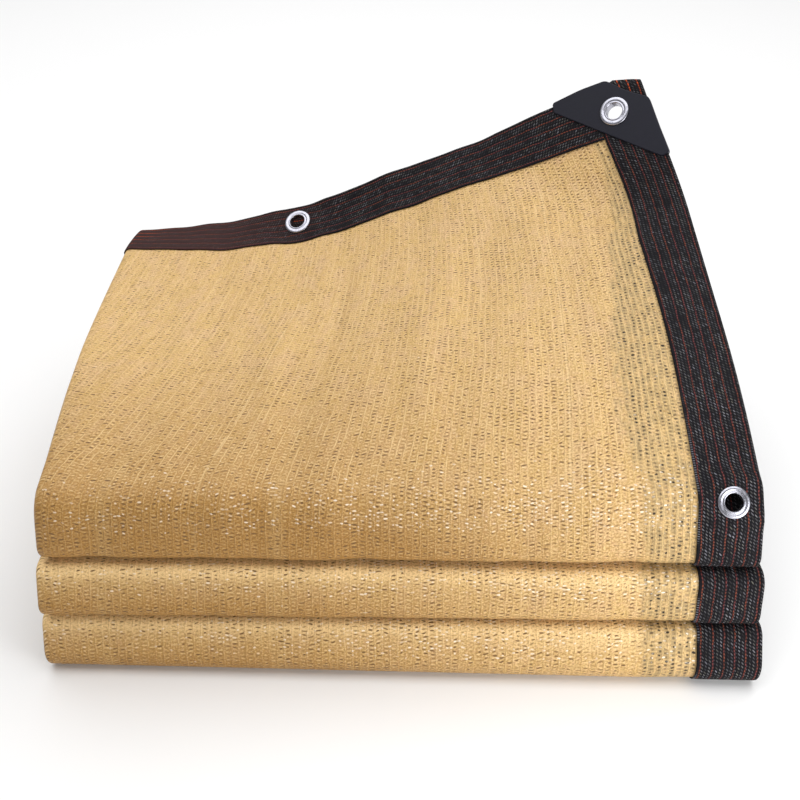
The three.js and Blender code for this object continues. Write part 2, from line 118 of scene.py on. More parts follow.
# Corners of the folded section, from the top panel down to the floor
BENDS = table(
    "name y z turn skew climb out_left out_right",
    ("roll 1 top", 0, 141, 17, 0, 0, 0, 0),
    ("roll 1 bottom", -13, 95.6, 7, -6, -3, 1, 6),
    ("back 1 top", 352, 124, 14, 4, 0, 0, 0),
    ("back 1 bottom", 358, 88, 14, 4, 0, 0, 0),
    ("roll 2 top", -14, 85.6, 7, -8, -3, 5, 11),
    ("roll 2 bottom", -25, 50.7, 7, -6, -1, 6, 10),
    ("back 2 top", 344, 68, 14, -4, 0, 0, 0),
    ("back 2 bottom", 350, 28, 13, -4, 0, 0, 0),
    ("roll 3 top", -20, 40.4, 7, -12, -1, 8, 15),
    ("roll 3 bottom", -42, 0, 12, -20, 0, 7, 14),
    ("bottom end", 330, 0, 0, 0, 0, 0, 0),
)
LAST_BEND = len(BENDS) - 1
LAST_RUN = 1 + 2 * LAST_BEND
END_RUN_LENGTH = BENDS[-1]["y"] - BENDS[-2]["y"]
TAPE_EXTRA = (TAPE_THICK - NET_THICK) / 2


def straight_before(bend):
    return 1 + 2 * bend


def bend_segment(bend):
    return 2 + 2 * bend


def panel_station(from_back):
    return from_back / (PANEL_DEPTH - PANEL_FRONT)


def end_station(from_end):
    return LAST_RUN + 1 - from_end / END_RUN_LENGTH


# Smooth tables
def smooth_table(table, x_name, y_name):
    x = np.array(table[x_name], float)
    y = np.array(table[y_name], float)
    slope = np.empty_like(y)
    slope[1:-1] = (y[2:] - y[:-2]) / (x[2:] - x[:-2])
    slope[0] = (y[1] - y[0]) / (x[1] - x[0])
    slope[-1] = (y[-1] - y[-2]) / (x[-1] - x[-2])

    def at(value):
        i = np.clip(np.searchsorted(x, value, side="right") - 1, 0, len(x) - 2)
        width = x[i + 1] - x[i]
        k = (value - x[i]) / width
        start = (1 + 2 * k) * (1 - k) ** 2 * y[i] + k * (1 - k) ** 2 * width * slope[i]
        end = k * k * (3 - 2 * k) * y[i + 1] + k * k * (k - 1) * width * slope[i + 1]
        below = y[0] + slope[0] * (value - x[0])
        above = y[-1] + slope[-1] * (value - x[-1])
        return np.where(value <= x[0], below, np.where(value >= x[-1], above, start + end))

    return at


def smooth_step(low, high, value):
    k = np.clip((value - low) / (high - low), 0, 1)
    return k * k * (3 - 2 * k)


rise_of_upper = smooth_table(BACK_RISE, "across", "upper")
rise_of_lower = smooth_table(BACK_RISE, "across", "lower")
rise_of_hem = smooth_table(BACK_RISE, "across", "hem")
way_at_left = smooth_table(RISE_ON_THE_WAY, "depth", "left")
way_at_right = smooth_table(RISE_ON_THE_WAY, "depth", "right")
panel_out_left = smooth_table(RISE_ON_THE_WAY, "depth", "out_left")
panel_out_right = smooth_table(RISE_ON_THE_WAY, "depth", "out_right")


# Vectors are numpy arrays whose last axis holds x, y and z
def vector(x, y, z):
    return np.stack(np.broadcast_arrays(x, y, z), -1).astype(float)


def unit(v):
    return v / np.maximum(np.linalg.norm(v, axis=-1, keepdims=True), 1e-12)


def dot(a, b):
    return (a * b).sum(-1, keepdims=True)


# The raised top panel. side is 1 for the upper sheet and -1 for the lower sheet.
def panel_rise(side, across, depth):
    share = across / HALF_WIDTH
    part = depth / PANEL_DEPTH
    rise = rise_of_upper(across) if side > 0 else rise_of_lower(across)
    hem = rise_of_hem(across)
    twist = np.maximum(0, (depth - HEM_START) / (PANEL_DEPTH - HEM_START)) ** 2
    way = way_at_left(part) * (1 - share) + way_at_right(part) * share
    return (rise - hem) * way + hem * twist


PLAN_STEPS = 24


def plan_length(length, height_at):
    heights = [height_at(length * i / PLAN_STEPS) for i in range(PLAN_STEPS + 1)]
    step = length / PLAN_STEPS
    plan = [np.sqrt(np.maximum(step ** 2 - (b - a) ** 2, 0)) for a, b in zip(heights, heights[1:])]
    return np.sign(length) * sum(plan)


def sideways_out(across, out_left, out_right):
    return out_right * across / HALF_WIDTH - out_left * (1 - across / HALF_WIDTH)


def panel_point(side, across, depth):
    part = depth / PANEL_DEPTH
    x = plan_length(across, lambda a: panel_rise(side, a, depth)) - HALF_WIDTH / 2
    y = plan_length(depth, lambda d: panel_rise(side, across, d))
    out = sideways_out(across, panel_out_left(part), panel_out_right(part))
    return vector(x + out, y, BENDS[0]["z"] + panel_rise(side, across, depth))


def near_side_tape(across):
    return smooth_step(HALF_WIDTH - 2 * TAPE_WIDTH, HALF_WIDTH - TAPE_WIDTH, across)


def near_end_tape(station):
    return smooth_step(end_station(2 * TAPE_WIDTH), end_station(TAPE_WIDTH), station)


def floor_height(across):
    return SNUG_SPREAD + NET_THICK / 2 + TAPE_EXTRA * near_side_tape(across)


def bend_corner(side, index, across):
    if index == 0:
        return panel_point(side, across, np.zeros_like(across))
    bend = BENDS[index]
    off_middle = across / HALF_WIDTH - 0.5
    z = floor_height(across) if bend["z"] == 0 else bend["z"] + bend["climb"] * off_middle
    x = across - HALF_WIDTH / 2 + sideways_out(across, bend["out_left"], bend["out_right"])
    return vector(x, bend["y"] + bend["skew"] * off_middle, z)


class RoundedCorner:
    """A corner between two straight runs, rounded with a radius."""

    def __init__(self, before, corner, after, radius):
        self.radius = radius
        self.into = unit(corner - before)
        out = unit(after - corner)
        self.turn = np.arccos(np.clip(dot(self.into, out), -1, 1))
        self.start = corner - self.into * radius * np.tan(self.turn / 2)
        self.inward = unit(out - self.into * dot(self.into, out))
        self.centre = self.start + self.inward * radius
        self.end = self.at(1.0)

    def at(self, part):
        angle = self.turn * part
        return self.centre + self.radius * (self.into * np.sin(angle) - self.inward * np.cos(angle))


def corner_of(side, index, across):
    if index == 0:
        before = panel_point(side, across, np.full_like(across, PANEL_FRONT))
    else:
        before = bend_corner(side, index - 1, across)
    after = bend_corner(side, index + 1, across)
    return RoundedCorner(before, bend_corner(side, index, across), after, BENDS[index]["turn"])


def segment_of(station):
    return np.clip(np.floor(station), 0, LAST_RUN).astype(int)


def run_point(side, across, station, segment):
    part = (station - segment)[..., None]
    after = (segment - 1) // 2
    if after == 0:
        start = panel_point(side, across, np.full_like(across, PANEL_FRONT))
    else:
        start = corner_of(side, after - 1, across).end
    if segment == LAST_RUN:
        end = bend_corner(side, after, across)
    else:
        end = corner_of(side, after, across).start
    point = start + (end - start) * part
    if segment == LAST_RUN:
        point[..., 2] += TAPE_EXTRA * near_end_tape(station) * (1 - near_side_tape(across))
    return point


# The middle of the doubled net. A station is a segment's number plus the part of it that is passed.
def middle_point(side, across, station):
    across, station = np.broadcast_arrays(np.asarray(across, float), np.asarray(station, float))
    segments = segment_of(station)
    point = np.empty(across.shape + (3,))
    for segment in np.unique(segments):
        here = segments == segment
        a, s = across[here], station[here]
        if segment == 0:
            point[here] = panel_point(side, a, PANEL_DEPTH + (PANEL_FRONT - PANEL_DEPTH) * s)
        elif segment % 2 == 0:
            point[here] = corner_of(side, segment // 2 - 1, a).at((s - segment)[..., None])
        else:
            point[here] = run_point(side, a, s, segment)
    return point


STATION_STEP = 0.004
ACROSS_STEP = 0.5


def normal_of(surface, across, station):
    across, station = np.broadcast_arrays(np.asarray(across, float), np.asarray(station, float))
    back = np.where(station - segment_of(station) > 0.5, STATION_STEP, 0.0)
    along = surface(across, station - back + STATION_STEP) - surface(across, station - back)
    sideways = surface(across + ACROSS_STEP, station) - surface(across - ACROSS_STEP, station)
    return unit(np.cross(along, sideways))


def middle_normal(side, across, station):
    return normal_of(lambda a, s: middle_point(side, a, s), across, station)


def spread_at(station):
    closing = smooth_step(bend_segment(0) + 1, bend_segment(1) + 1, station)
    return LOOSE_SPREAD + (SNUG_SPREAD - LOOSE_SPREAD) * closing


def curved_sheet(side, across, station):
    lift = (side * spread_at(np.asarray(station, float)))[..., None]
    return middle_point(side, across, station) + middle_normal(side, across, station) * lift


# Eyelets on the upper sheet, which keep it flat out to flat and are eased off out to eased
EYELETS = {
    "corner": dict(across=HALF_WIDTH - 30, station=panel_station(23), rim=12.5, flat=58, eased=135),
    "back": dict(across=163.0, station=panel_station(19), rim=12.5, flat=17, eased=36),
    "front": dict(across=HALF_WIDTH - 21, station=bend_segment(0) + 0.57, rim=11.3, flat=16, eased=29),
}


def place_eyelets():
    for place in EYELETS.values():
        place["centre"] = curved_sheet(1, place["across"], place["station"])
        place["normal"] = normal_of(lambda a, s: curved_sheet(1, a, s), place["across"], place["station"])
    tip = curved_sheet(1, HALF_WIDTH, 0.0)
    left = curved_sheet(1, HALF_WIDTH - PATCH_LEG_BACK, 0.0)
    front = curved_sheet(1, HALF_WIDTH, panel_station(PATCH_LEG_RIGHT))
    normal = unit(np.cross(left - tip, front - tip))
    corner = EYELETS["corner"]
    if normal @ corner["normal"] < 0:
        normal = -normal
    corner["normal"] = normal
    corner["centre"] = corner["centre"] - normal * ((corner["centre"] - tip) @ normal)


place_eyelets()


def flattened(point):
    """Keeps the upper sheet in the plane of each hard fitting near it."""
    for place in EYELETS.values():
        away = np.linalg.norm(point - place["centre"], axis=-1, keepdims=True)
        height = dot(point - place["centre"], place["normal"])
        point = point - place["normal"] * height * (1 - smooth_step(place["flat"], place["eased"], away))
    return point


# Soft creases and dents of the upper sheet, by their place across and their distance from the back edge.
# Each runs from one end to the other, wide on both sides, and deep is how far it sinks.
CREASES = table(
    "across from_back wide deep",
    ((444, 436), (46, 125), 7, 2.4),
    ((420, 395), (75, 190), 22, 2.2),
    ((352, 330), (70, 210), 26, 1.6),
    ((232, 205), (60, 250), 24, 1.7),
    ((120, 96), (80, 300), 22, 1.5),
    ((62, 48), (150, 360), 14, 1.2),
    ((285, 275), (180, 340), 18, -1.2),
    ((160, 150), (200, 350), 14, -1.1),
)
CREASE_ENDS = (-15, 25)
CREASES_FROM_FOLD = 30


def crease_depth(across, from_back):
    depth = np.zeros(np.broadcast(across, from_back).shape)
    for crease in CREASES:
        (a0, a1), (b0, b1) = crease["across"], crease["from_back"]
        length = math.hypot(a1 - a0, b1 - b0)
        along = ((across - a0) * (a1 - a0) + (from_back - b0) * (b1 - b0)) / length
        beside = ((across - a0) * (b1 - b0) - (from_back - b0) * (a1 - a0)) / length
        ends = smooth_step(*CREASE_ENDS, along) * smooth_step(*CREASE_ENDS, length - along)
        depth += crease["deep"] * ends * np.exp(-((beside / crease["wide"]) ** 2))
    return depth


# A lasting unevenness of the cloth, from a few long waves
WAVES = table(
    "across along turn high",
    (61, 410, 0.3, 0.45),
    (37, -730, 1.9, 0.3),
    (97, 260, 4.1, 0.55),
    (150, -190, 2.6, 0.45),
)
QUIET_SHARE = 0.35   # how high the waves are off the top panel's upper sheet
FITTING_SHARE = 0.9  # of the flat room round an eyelet, where the waves end
FLOOR_PART = 0.6     # of the run before the last, where they end above the floor


def unevenness(across, along):
    height = 0.0
    for wave in WAVES:
        phase = across / wave["across"] + along / wave["along"]
        height = height + wave["high"] * np.sin(2 * math.pi * phase + wave["turn"])
    return height


def sheet_point(side, across, station):
    point = curved_sheet(side, across, station)
    return flattened(point) if side > 0 else point


# The whole doubled sheet as a grid: columns on the upper sheet, round the left fold and on the lower sheet
FOLD_COUNT = 10
FOLD_ANGLES = math.pi * np.arange(FOLD_COUNT + 1) / FOLD_COUNT
FOLD_REACH = LOOSE_SPREAD + 2  # where the sheets' own columns begin beside the fold


def sheet_points(side, places, stations):
    return sheet_point(side, *np.meshgrid(places, stations))


def fold_points(angles, stations):
    spread = spread_at(stations)[:, None]
    across = spread - spread * np.sin(angles)[None, :]
    station = np.broadcast_to(stations[:, None], across.shape)
    rise = (spread * np.cos(angles)[None, :])[..., None]
    return middle_point(1, across, station) + middle_normal(1, across, station) * rise


class ClothGrid:
    """Points of the cloth's middle, its outward normals and its own flat coordinates, row by row."""

    def __init__(self, stations, upper=(), fold=(), lower=()):
        upper, fold, lower = (np.asarray(columns, float) for columns in (upper, fold, lower))
        parts = []
        if len(upper):
            parts.append(sheet_points(1, upper, stations))
        if len(fold):
            parts.append(fold_points(fold, stations))
        if len(lower):
            parts.append(sheet_points(-1, lower, stations))
        self.stations = stations
        self.points = np.concatenate(parts, axis=1)
        self.across = np.concatenate([upper, SNUG_SPREAD * (1 - 2 * fold / math.pi), -lower])
        # The outside of the top panel faces up on the upper sheet and down on the lower one
        normals = unit(np.cross(np.gradient(self.points, axis=0), np.gradient(self.points, axis=1)))
        turned = bool(normals[0, 0, 2] > 0) != bool(len(upper))
        self.normals = -normals if turned else normals

    def along(self):
        """Length along the cloth from the first row, column by column."""
        steps = np.linalg.norm(np.diff(self.points, axis=0), axis=-1)
        return np.concatenate([np.zeros((1, steps.shape[1])), np.cumsum(steps, axis=0)])

    def uneven(self, along):
        """The points with the cloth's waves and creases, which fade out at fittings and near the floor."""
        across = np.broadcast_to(self.across, along.shape)
        on_panel = 1 - smooth_step(bend_segment(1), bend_segment(1) + 1, self.stations)[:, None]
        most = on_panel * np.where(across > 0, 1.0, 0.0)
        height = unevenness(across, along) * (QUIET_SHARE + (1 - QUIET_SHARE) * most)
        creased = crease_depth(across, along) * smooth_step(0, CREASES_FROM_FOLD, across)
        height = height - creased * on_panel
        for place in EYELETS.values():
            away = np.linalg.norm(self.points - place["centre"], axis=-1)
            height = height * smooth_step(place["flat"] * FITTING_SHARE, place["eased"], away)
        on_floor = smooth_step(LAST_RUN - 1.0, LAST_RUN - FLOOR_PART, self.stations)[:, None]
        return self.points + self.normals * (height * (1 - on_floor))[..., None]


# Rows along the cloth
ROW_DIGITS = 6
SHORT_RUN = np.arange(6) / 6
LONG_RUN = np.array([0, 0.012, 0.026, 0.045, 0.07, 0.11, 0.17, 0.25, 0.34, 0.45, 0.56, 0.67, 0.78, 0.9])
END_ROW_STEP = 10


def rising(*parts):
    return np.unique(np.round(np.concatenate(parts), ROW_DIGITS))


def panel_rows(first, step):
    return panel_station(np.arange(first, PANEL_DEPTH - PANEL_FRONT - step / 2, step))


def rows_after_panel(fine):
    """fine is how many steps a front bend takes."""
    rows = [straight_before(0) + SHORT_RUN]
    for bend in range(LAST_BEND):
        at_back = BENDS[bend]["y"] > PANEL_DEPTH / 2
        steps = max(4, fine // 2) if at_back else fine
        rows.append(bend_segment(bend) + np.arange(steps) / steps)
        if abs(BENDS[bend + 1]["y"] - BENDS[bend]["y"]) < PANEL_DEPTH / 2:
            parts = SHORT_RUN
        else:
            parts = np.append(0, 1 - LONG_RUN) if at_back else LONG_RUN
        rows.append(straight_before(bend + 1) + parts)
    return np.concatenate(rows)


def end_rows(last):
    return end_station(np.arange(2 * TAPE_WIDTH, last, -END_ROW_STEP))


# Meshes
UV_UNIT = 10.0  # millimetres of cloth in one unit of the cloth's own coordinates


def to_scene(points):
    return (np.asarray(points, float).reshape(-1, 3) - MIDDLE) * 0.001


def new_object(name, points, faces):
    """points are in metres of the frame, and faces are lists of point numbers."""
    mesh = bpy.data.meshes.new(name)
    mesh.from_pydata(np.asarray(points).tolist(), [], [list(face) for face in faces])
    made = bpy.data.objects.new(name, mesh)
    bpy.context.scene.collection.objects.link(made)
    return made


def dressed(piece, material, uvs=None, smooth=True):
    """uvs are millimetres of cloth, one pair for each corner of each face."""
    mesh = piece.data
    if uvs is not None:
        layer = mesh.uv_layers.new(name="cloth")
        layer.data.foreach_set("uv", (np.asarray(uvs, float) / UV_UNIT).ravel())
    mesh.polygons.foreach_set("use_smooth", [smooth] * len(mesh.polygons))
    mesh.materials.append(material)
    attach(piece, "root")
    return piece


def grid_faces(rows, columns, around=False, rows_around=False):
    last_row = rows if rows_around else rows - 1
    last_column = columns if around else columns - 1
    r, c = np.meshgrid(np.arange(last_row), np.arange(last_column), indexing="ij")
    s, d = (r + 1) % rows, (c + 1) % columns
    corners = [r * columns + c, r * columns + d, s * columns + d, s * columns + c]
    return np.stack(corners, -1).reshape(-1, 4)


def tube_faces(count, size):
    """The sides of a tube of rings, and then its two flat ends."""
    ends = [list(range(size)), list(range((count - 1) * size, count * size))]
    return grid_faces(count, size, around=True).tolist() + ends


def face_out(piece, split_last=0):
    """Turns a closed piece's faces outward, after it splits its last faces into triangles."""
    work = bmesh.new()
    work.from_mesh(piece.data)
    work.faces.ensure_lookup_table()
    if split_last:
        bmesh.ops.triangulate(work, faces=work.faces[-split_last:])
    bmesh.ops.recalc_face_normals(work, faces=work.faces)
    work.to_mesh(piece.data)
    work.free()
    return piece


def cut(piece, cutters):
    for cutter in cutters:
        modifier = piece.modifiers.new("cut", "BOOLEAN")
        modifier.operation = "DIFFERENCE"
        modifier.solver = "EXACT"
        modifier.object = cutter
        seen = piece.evaluated_get(bpy.context.evaluated_depsgraph_get())
        mesh = bpy.data.meshes.new_from_object(seen)
        piece.modifiers.clear()
        piece.data = mesh
        used = cutter.data
        bpy.data.objects.remove(cutter)
        bpy.data.meshes.remove(used)
    return piece


# Materials
def math_step(operation, turned=False):
    def step(self, *others):
        return self.look.node("Math", (*others, self) if turned else (self, *others), operation=operation)

    return step


class Value:
    """A number or colour that a material works out at each point. Arithmetic with it adds Math nodes."""

    def __init__(self, look, socket):
        self.look = look
        self.socket = socket

    __add__ = math_step("ADD")
    __sub__ = math_step("SUBTRACT")
    __rsub__ = math_step("SUBTRACT", turned=True)
    __mul__ = math_step("MULTIPLY")
    __truediv__ = math_step("DIVIDE")
    __pow__ = math_step("POWER")
    __abs__ = math_step("ABSOLUTE")
    or_more = math_step("MAXIMUM")
    or_less = math_step("MINIMUM")
    floor = math_step("FLOOR")
    fraction = math_step("FRACT")
    remainder = math_step("FLOORED_MODULO")
    sine = math_step("SINE")

    def ramp(self, low, high, start=0.0, end=1.0):
        """Eases from start to end while the value goes from low to high."""
        return self.look.node("MapRange", (self, low, high, start, end), interpolation_type="SMOOTHSTEP")


class Look:
    """A material made of nodes, with short names for the few kinds of node that it uses."""

    def __init__(self, name, colour, roughness, metallic=0.0, specular=0.5):
        self.material = bpy.data.materials.new(name)
        self.material.use_nodes = True
        self.tree = self.material.node_tree
        self.shader = self.tree.nodes["Principled BSDF"]
        self.set("Base Color", (*colour, 1))
        self.set("Roughness", roughness)
        self.set("Metallic", metallic)
        self.set("Specular IOR Level", specular)

    def put(self, value, socket):
        if isinstance(value, Value):
            self.tree.links.new(value.socket, socket)
        else:
            socket.default_value = value

    def set(self, name, value):
        self.put(value, self.shader.inputs[name])

    def node(self, kind, inputs=(), output=0, **settings):
        """Adds a node, fills its inputs and gives one of its outputs."""
        made = self.tree.nodes.new("ShaderNode" + kind)
        for name, value in settings.items():
            setattr(made, name, value)
        for key, value in inputs.items() if isinstance(inputs, dict) else enumerate(inputs):
            self.put(value, made.inputs[key])
        return Value(self, made.outputs[output])

    def split(self, vector):
        outputs = self.node("SeparateXYZ", (vector,)).socket.node.outputs
        return [Value(self, socket) for socket in outputs]

    def cloth_place(self):
        """The cloth's own coordinates in millimetres: across it, and along it."""
        across, along, _ = self.split(self.node("UVMap", uv_map="cloth"))
        return across * UV_UNIT, along * UV_UNIT

    def frame_place(self):
        """The place in the model's frame in metres: to the right, to the back and up."""
        return self.split(self.node("NewGeometry", output="Position"))

    def noise(self, x, y, wide, long, detail=1.0):
        """A soft cloud from 0 to 1, whose blots are about wide by long millimetres."""
        place = self.node("CombineXYZ", (x / wide, y / long))
        inputs = {"Vector": place, "Scale": 1, "Detail": detail}
        return self.node("TexNoise", inputs, noise_dimensions="2D")

    def cloud(self, x, y, size, ramp):
        return self.noise(x, y, *size).ramp(*ramp)

    def sway(self, value, x, y, wide, long, push, detail=1.0):
        """The value pushed to and fro by a soft cloud."""
        return value + (self.noise(x, y, wide, long, detail) - 0.5) * push

    def blend(self, share, a, b):
        a, b = (c if isinstance(c, Value) else (*c, 1) for c in (a, b))
        return self.node("Mix", {0: share, 6: a, 7: b}, 2, data_type="RGBA")

    def bump(self, height, millimetres):
        inputs = {"Strength": 1.0, "Distance": millimetres * 0.001, "Height": height}
        self.set("Normal", self.node("Bump", inputs))


class Cells:
    """Brick-like cells on the cloth: the place within a cell from -0.5 to 0.5, and the cell's numbers.

    A spot's measure is a number, or (seed, lowest, highest) for what varies from cell to cell.
    """

    def __init__(self, look, x, y, wide, long):
        columns = x / wide
        self.look = look
        self.column = columns.floor()
        rows = y / long + self.column.remainder(2) * 0.5
        self.row = rows.floor()
        self.x = columns.fraction() - 0.5
        self.y = rows.fraction() - 0.5

    def chance(self, seed, low=0.0, high=1.0):
        place = self.look.node("CombineXYZ", (self.column + seed, self.row))
        value = self.look.node("TexWhiteNoise", {"Vector": place}, "Value", noise_dimensions="2D")
        return value if (low, high) == (0.0, 1.0) else value * (high - low) + low

    def spot(self, shape, seed=0):
        """1 in the middle of each cell's spot and 0 outside it. The shape names its measures."""
        measures = (shape.get(name) for name in ("wide", "long", "turn", "aside"))
        measures = (self.chance(seed + m[0], *m[1:]) if isinstance(m, tuple) else m for m in measures)
        wide, long, turn, aside = measures
        x = self.x - aside if aside else self.x
        y = self.y + x * turn if turn else self.y
        return ((x / wide) ** 2 + (y / long) ** 2).ramp(1.5, 0.5)


# A ramp is (low, high, start, end), a cloud's size (wide, long, detail), a sway (wide, long, push, detail).
# What varies from cell to cell is (seed, lowest, highest).

# The net's knit: light wales run along it, with short dark and light strokes across between them.
# Beside the side tape the knit is looser, and its openings are larger.
SAND = (0.70, 0.45, 0.175)
SAND_DARK = (0.52, 0.315, 0.11)
SAND_PINK = (0.67, 0.43, 0.225)
SAND_GOLD = (0.66, 0.425, 0.14)
SAND_ROSE = (0.78, 0.48, 0.27)
# Painted shade: the left of the panel and the lower part of each roll's front
SAND_PAINTED_SHADE = (0.39, 0.195, 0.04)
# Painted light for the tops of the second and third rolls
SAND_PAINTED_LIGHT = (0.95, 0.66, 0.31)
# Painted light for a thin rim at the top of the second and third rolls
SAND_PAINTED_RIM_LIGHT = (1.0, 0.70, 0.33)
STROKE_BROWN = (0.40, 0.235, 0.08)
# Stroke colour in the painted shade on the rolls
STROKE_PAINTED_SHADE = (0.21, 0.10, 0.028)
WALE_LIGHT = (0.85, 0.60, 0.29)
LOOSE_LIGHT = (0.78, 0.54, 0.235)
LOOSE_GREY = (0.36, 0.25, 0.11)
# Painted shade seen through the knit's slits and holes
SLIT_PAINTED_SHADE = (0.19, 0.10, 0.035)
HOLE_PAINTED_SHADE = (0.030, 0.018, 0.010)
# Painted glints on the rolls' shoulders
GLINT_WHITE = (0.98, 0.87, 0.72)

WALE_PITCH = 5.3
COURSE_PITCH = 3.0
SLOW_SWAY = (45, 70, 3.0)
QUICK_SWAY = (5, 7, 1.2)
ROW_SWAY = (9, 14, 2.0)
STREAKS = dict(size=(6, 160, 2), ramp=(0.32, 0.58, 0.5, 1))
# Soft tints over the sand, each from a cloud that is moved aside by shift
TINTS = table(
    "tint shift size ramp",
    (WALE_LIGHT, 500, (3.2, 240, 1), (0.52, 0.7, 0, 0.35)),
    (SAND_DARK, 500, (3.2, 240, 1), (0.48, 0.3, 0, 0.3)),
    (SAND_PINK, 0, (16, 26, 2), (0.45, 0.65, 0, 0.6)),
    (SAND_GOLD, 300, (22, 34, 2), (0.45, 0.65, 0, 0.6)),
    (SAND_ROSE, 700, (4, 3, 2), (0.5, 0.7, 0, 0.5)),
)
GRAIN = (1.6, 1.0, 2)
GRAIN_DARK = (0.36, 0.5, 0.6, 0)
GRAIN_LIGHT = (0.5, 0.64, 0, 0.55)
GRAIN_ACROSS = (100, 430, 0.75, 1.1)
DARK_WALES = (46.0, 166.0, 423.0)
DARK_WALE_NEAR = (9, 1, 0, 0.4)
DARK_WALES_ALONG = (60, 140)
BRIGHT_WALES = (369.0, 110.0)
BRIGHT_WALE_NEAR = (1.0, 0.4, 0, 0.6)
BRIGHT_WALE_THERE = dict(size=(16, 26, 2), ramp=(0.3, 0.5))
BRIGHT_WALE_FADE = 0.8  # how much of them is lost on the rolls

# Painted shade and painted light by place: across and along the cloth in millimetres, and over the rolls in
# metres of the frame
ROLLS_ALONG = (360, 400)
SHADE_ACROSS = (140, 490, 1, 0)
SHADE_ALONG = (190, 430)
SHADE_PAST_ROLL_1 = (600, 700, 1, 0.56)
FRONT_DEPTH = (-0.12, -0.15)
ROLL_FEET = (0.0900, 0.0450)  # where the first roll ends above the second, and the second above the third
FOOT_EDGE = 0.0005
FACE_1 = (0.140, 0.098)
FACE_2 = (0.084, 0.052)
FACE_3 = (0.038, 0.004)
FACE_SHADE_ACROSS = (100, 470, 0.55, 0.1)
PAINTED_LIGHT_FACE = (0.26, 0.0)
PAINTED_LIGHT_ACROSS = (260, 470, 0.15, 0.85)
# Painted light rims at the tops of the second and third rolls, in the gaps under the roll above
PAINTED_RIM_2 = (0.079, 0.089)
PAINTED_RIM_2_END = (0.0920, 0.0915)
PAINTED_RIM_3 = (0.033, 0.043)
PAINTED_RIM_SHARE = 0.92
# Where the painted shade on the rolls also darkens the knit's strokes and dims its light marks
PAINTED_SHADE_ALONG = (350, 400)
PAINTED_SHADE_RAMP = (0.3, 1.3)
PAINTED_SHADE_SHARE = 0.6

# Strokes and slits of the close knit; the slits are openings, painted dark brown as the shade seen through
# them
DARK_STROKE = dict(wide=(23, 0.14, 0.38), long=0.18, turn=(83, -0.5, 0.5), aside=(71, -0.12, 0.12))
DARK_STROKE_SHOW = (61, 0.1, 0.85)
LIGHT_STROKE = dict(wide=(37, 0.14, 0.36), long=0.18, turn=(85, -0.5, 0.5))
LIGHT_STROKE_SHOW = (43, 0, 0.7)
CROWD = (14, 60, 3)
SLIT_CROWD = (0.36, 0.66, 0.14, 0.62)
SLIT_ACROSS = (100, 400, 0.85, 1.5)
SLIT_SEED = 3
SLIT_EDGE = (0.06, -0.06)
SLIT_SHOW = (17, 0.45, 1.1)
WALE_EDGE = (0.13, 0.03)
WALE_BEAD = (0.5, 0.1, 0.4, 1)
WALE_SHOW = dict(size=(6, 20, 2), ramp=(0.38, 0.62, 0.1, 0.85))
WALE_FADE = 0.6  # how much of the wales is lost on the rolls
ROUGHNESS = (53, 0.42, 0.62)

# The loose band beside the side tape
LOOSE_EDGE = (418.0, 430.0)
LOOSE_EDGE_SWAY = (8, 25, 24, 2)
LOOSE_DRIFT_PANEL = (50, 300, 16, -15)
LOOSE_DRIFT_ROLL = (330, 400, 0, 11)
LOOSE_WALE_PITCH = 4.9
THIN = dict(size=(4, 10, 2), ramp=(0.35, 0.62, 0.25, 0.85))
LOOSE_WALE_EDGE = (0.15, 0.03)
LOOSE_WALE_BEAD = (0.5, 0.1, 0.1, 0.85)
LOOSE_COURSE = (0.3, 0.46)
LOOSE_COURSE_SHOW = (19, 0, 0.8)
LOOSE_HOLE = dict(
    wide=(31, 0.14, 0.28), long=(33, 0.18, 0.3), turn=(35, -0.5, 0.5), aside=(39, -0.12, 0.12)
)
LOOSE_HOLE_SHOW = (5, 0.3, 1.2)
LOOSE_HOLE_POWER = 1.3
LOOSE_PIN = dict(wide=(31, 0.08, 0.2), long=0.22)
LOOSE_PIN_SEED = 5
LOOSE_PIN_POWER = 1.6

# Painted glints: white flecks painted on the rolls' shoulders, where the light catches them
SHOULDER_FACES = (0.08, -0.62, 0.78)  # direction that the brightest part of a roll faces
SHOULDER_RAMP = (0.84, 0.96)
SHOULDER_FACE = (0.55, 0.15)
FLECK_ACROSS = (0, 420, 0.28, 0.62)
FLECK_CROWD = (0.3, 0.6, 0.3, 1)
FLECK_EDGE = (0.02, -0.02)
FLECK_SEEDS = (29, 67)
FLECK = dict(wide=(8, 0.1, 0.26), long=0.2, turn=(16, -0.6, 0.4))
FLECK_SHOW = (12, 0.2, 0.97)
FLECK_SHOW_ACROSS = (0, 420, 0.65, 1)

# The knit's relief, as shares of its depth in millimetres
KNIT_DEPTH = 0.4
WALE_HIGH = 0.6
LIGHT_HIGH = 0.5
STROKE_DEPTH = 0.4
SLIT_DEPTH = 0.6
HOLE_DEPTH = 1.0
GRAIN_HIGH = 0.8


def roll_shade(up, back):
    """How far down each roll's front a point is, where painted light lifts the top of the second and third
    rolls out of their shade, and how much of a painted light rim a point is.
    """
    front = back.ramp(*FRONT_DEPTH)
    over_1, over_2 = (up.ramp(foot, foot + FOOT_EDGE) for foot in ROLL_FEET)
    under_1, under_2 = (up.ramp(foot + FOOT_EDGE, foot) for foot in ROLL_FEET)
    down_1 = up.ramp(*FACE_1) * over_1
    down_2 = up.ramp(*FACE_2) * under_1 * over_2
    down_3 = up.ramp(*FACE_3) * under_2
    down = down_1.or_more(down_2.or_more(down_3)) * front
    painted_light_top = down.ramp(*PAINTED_LIGHT_FACE) * front * under_1
    rim = (up.ramp(*PAINTED_RIM_2) * up.ramp(*PAINTED_RIM_2_END)).or_more(up.ramp(*PAINTED_RIM_3) * under_2)
    return front, down, painted_light_top, rim * front * PAINTED_RIM_SHARE


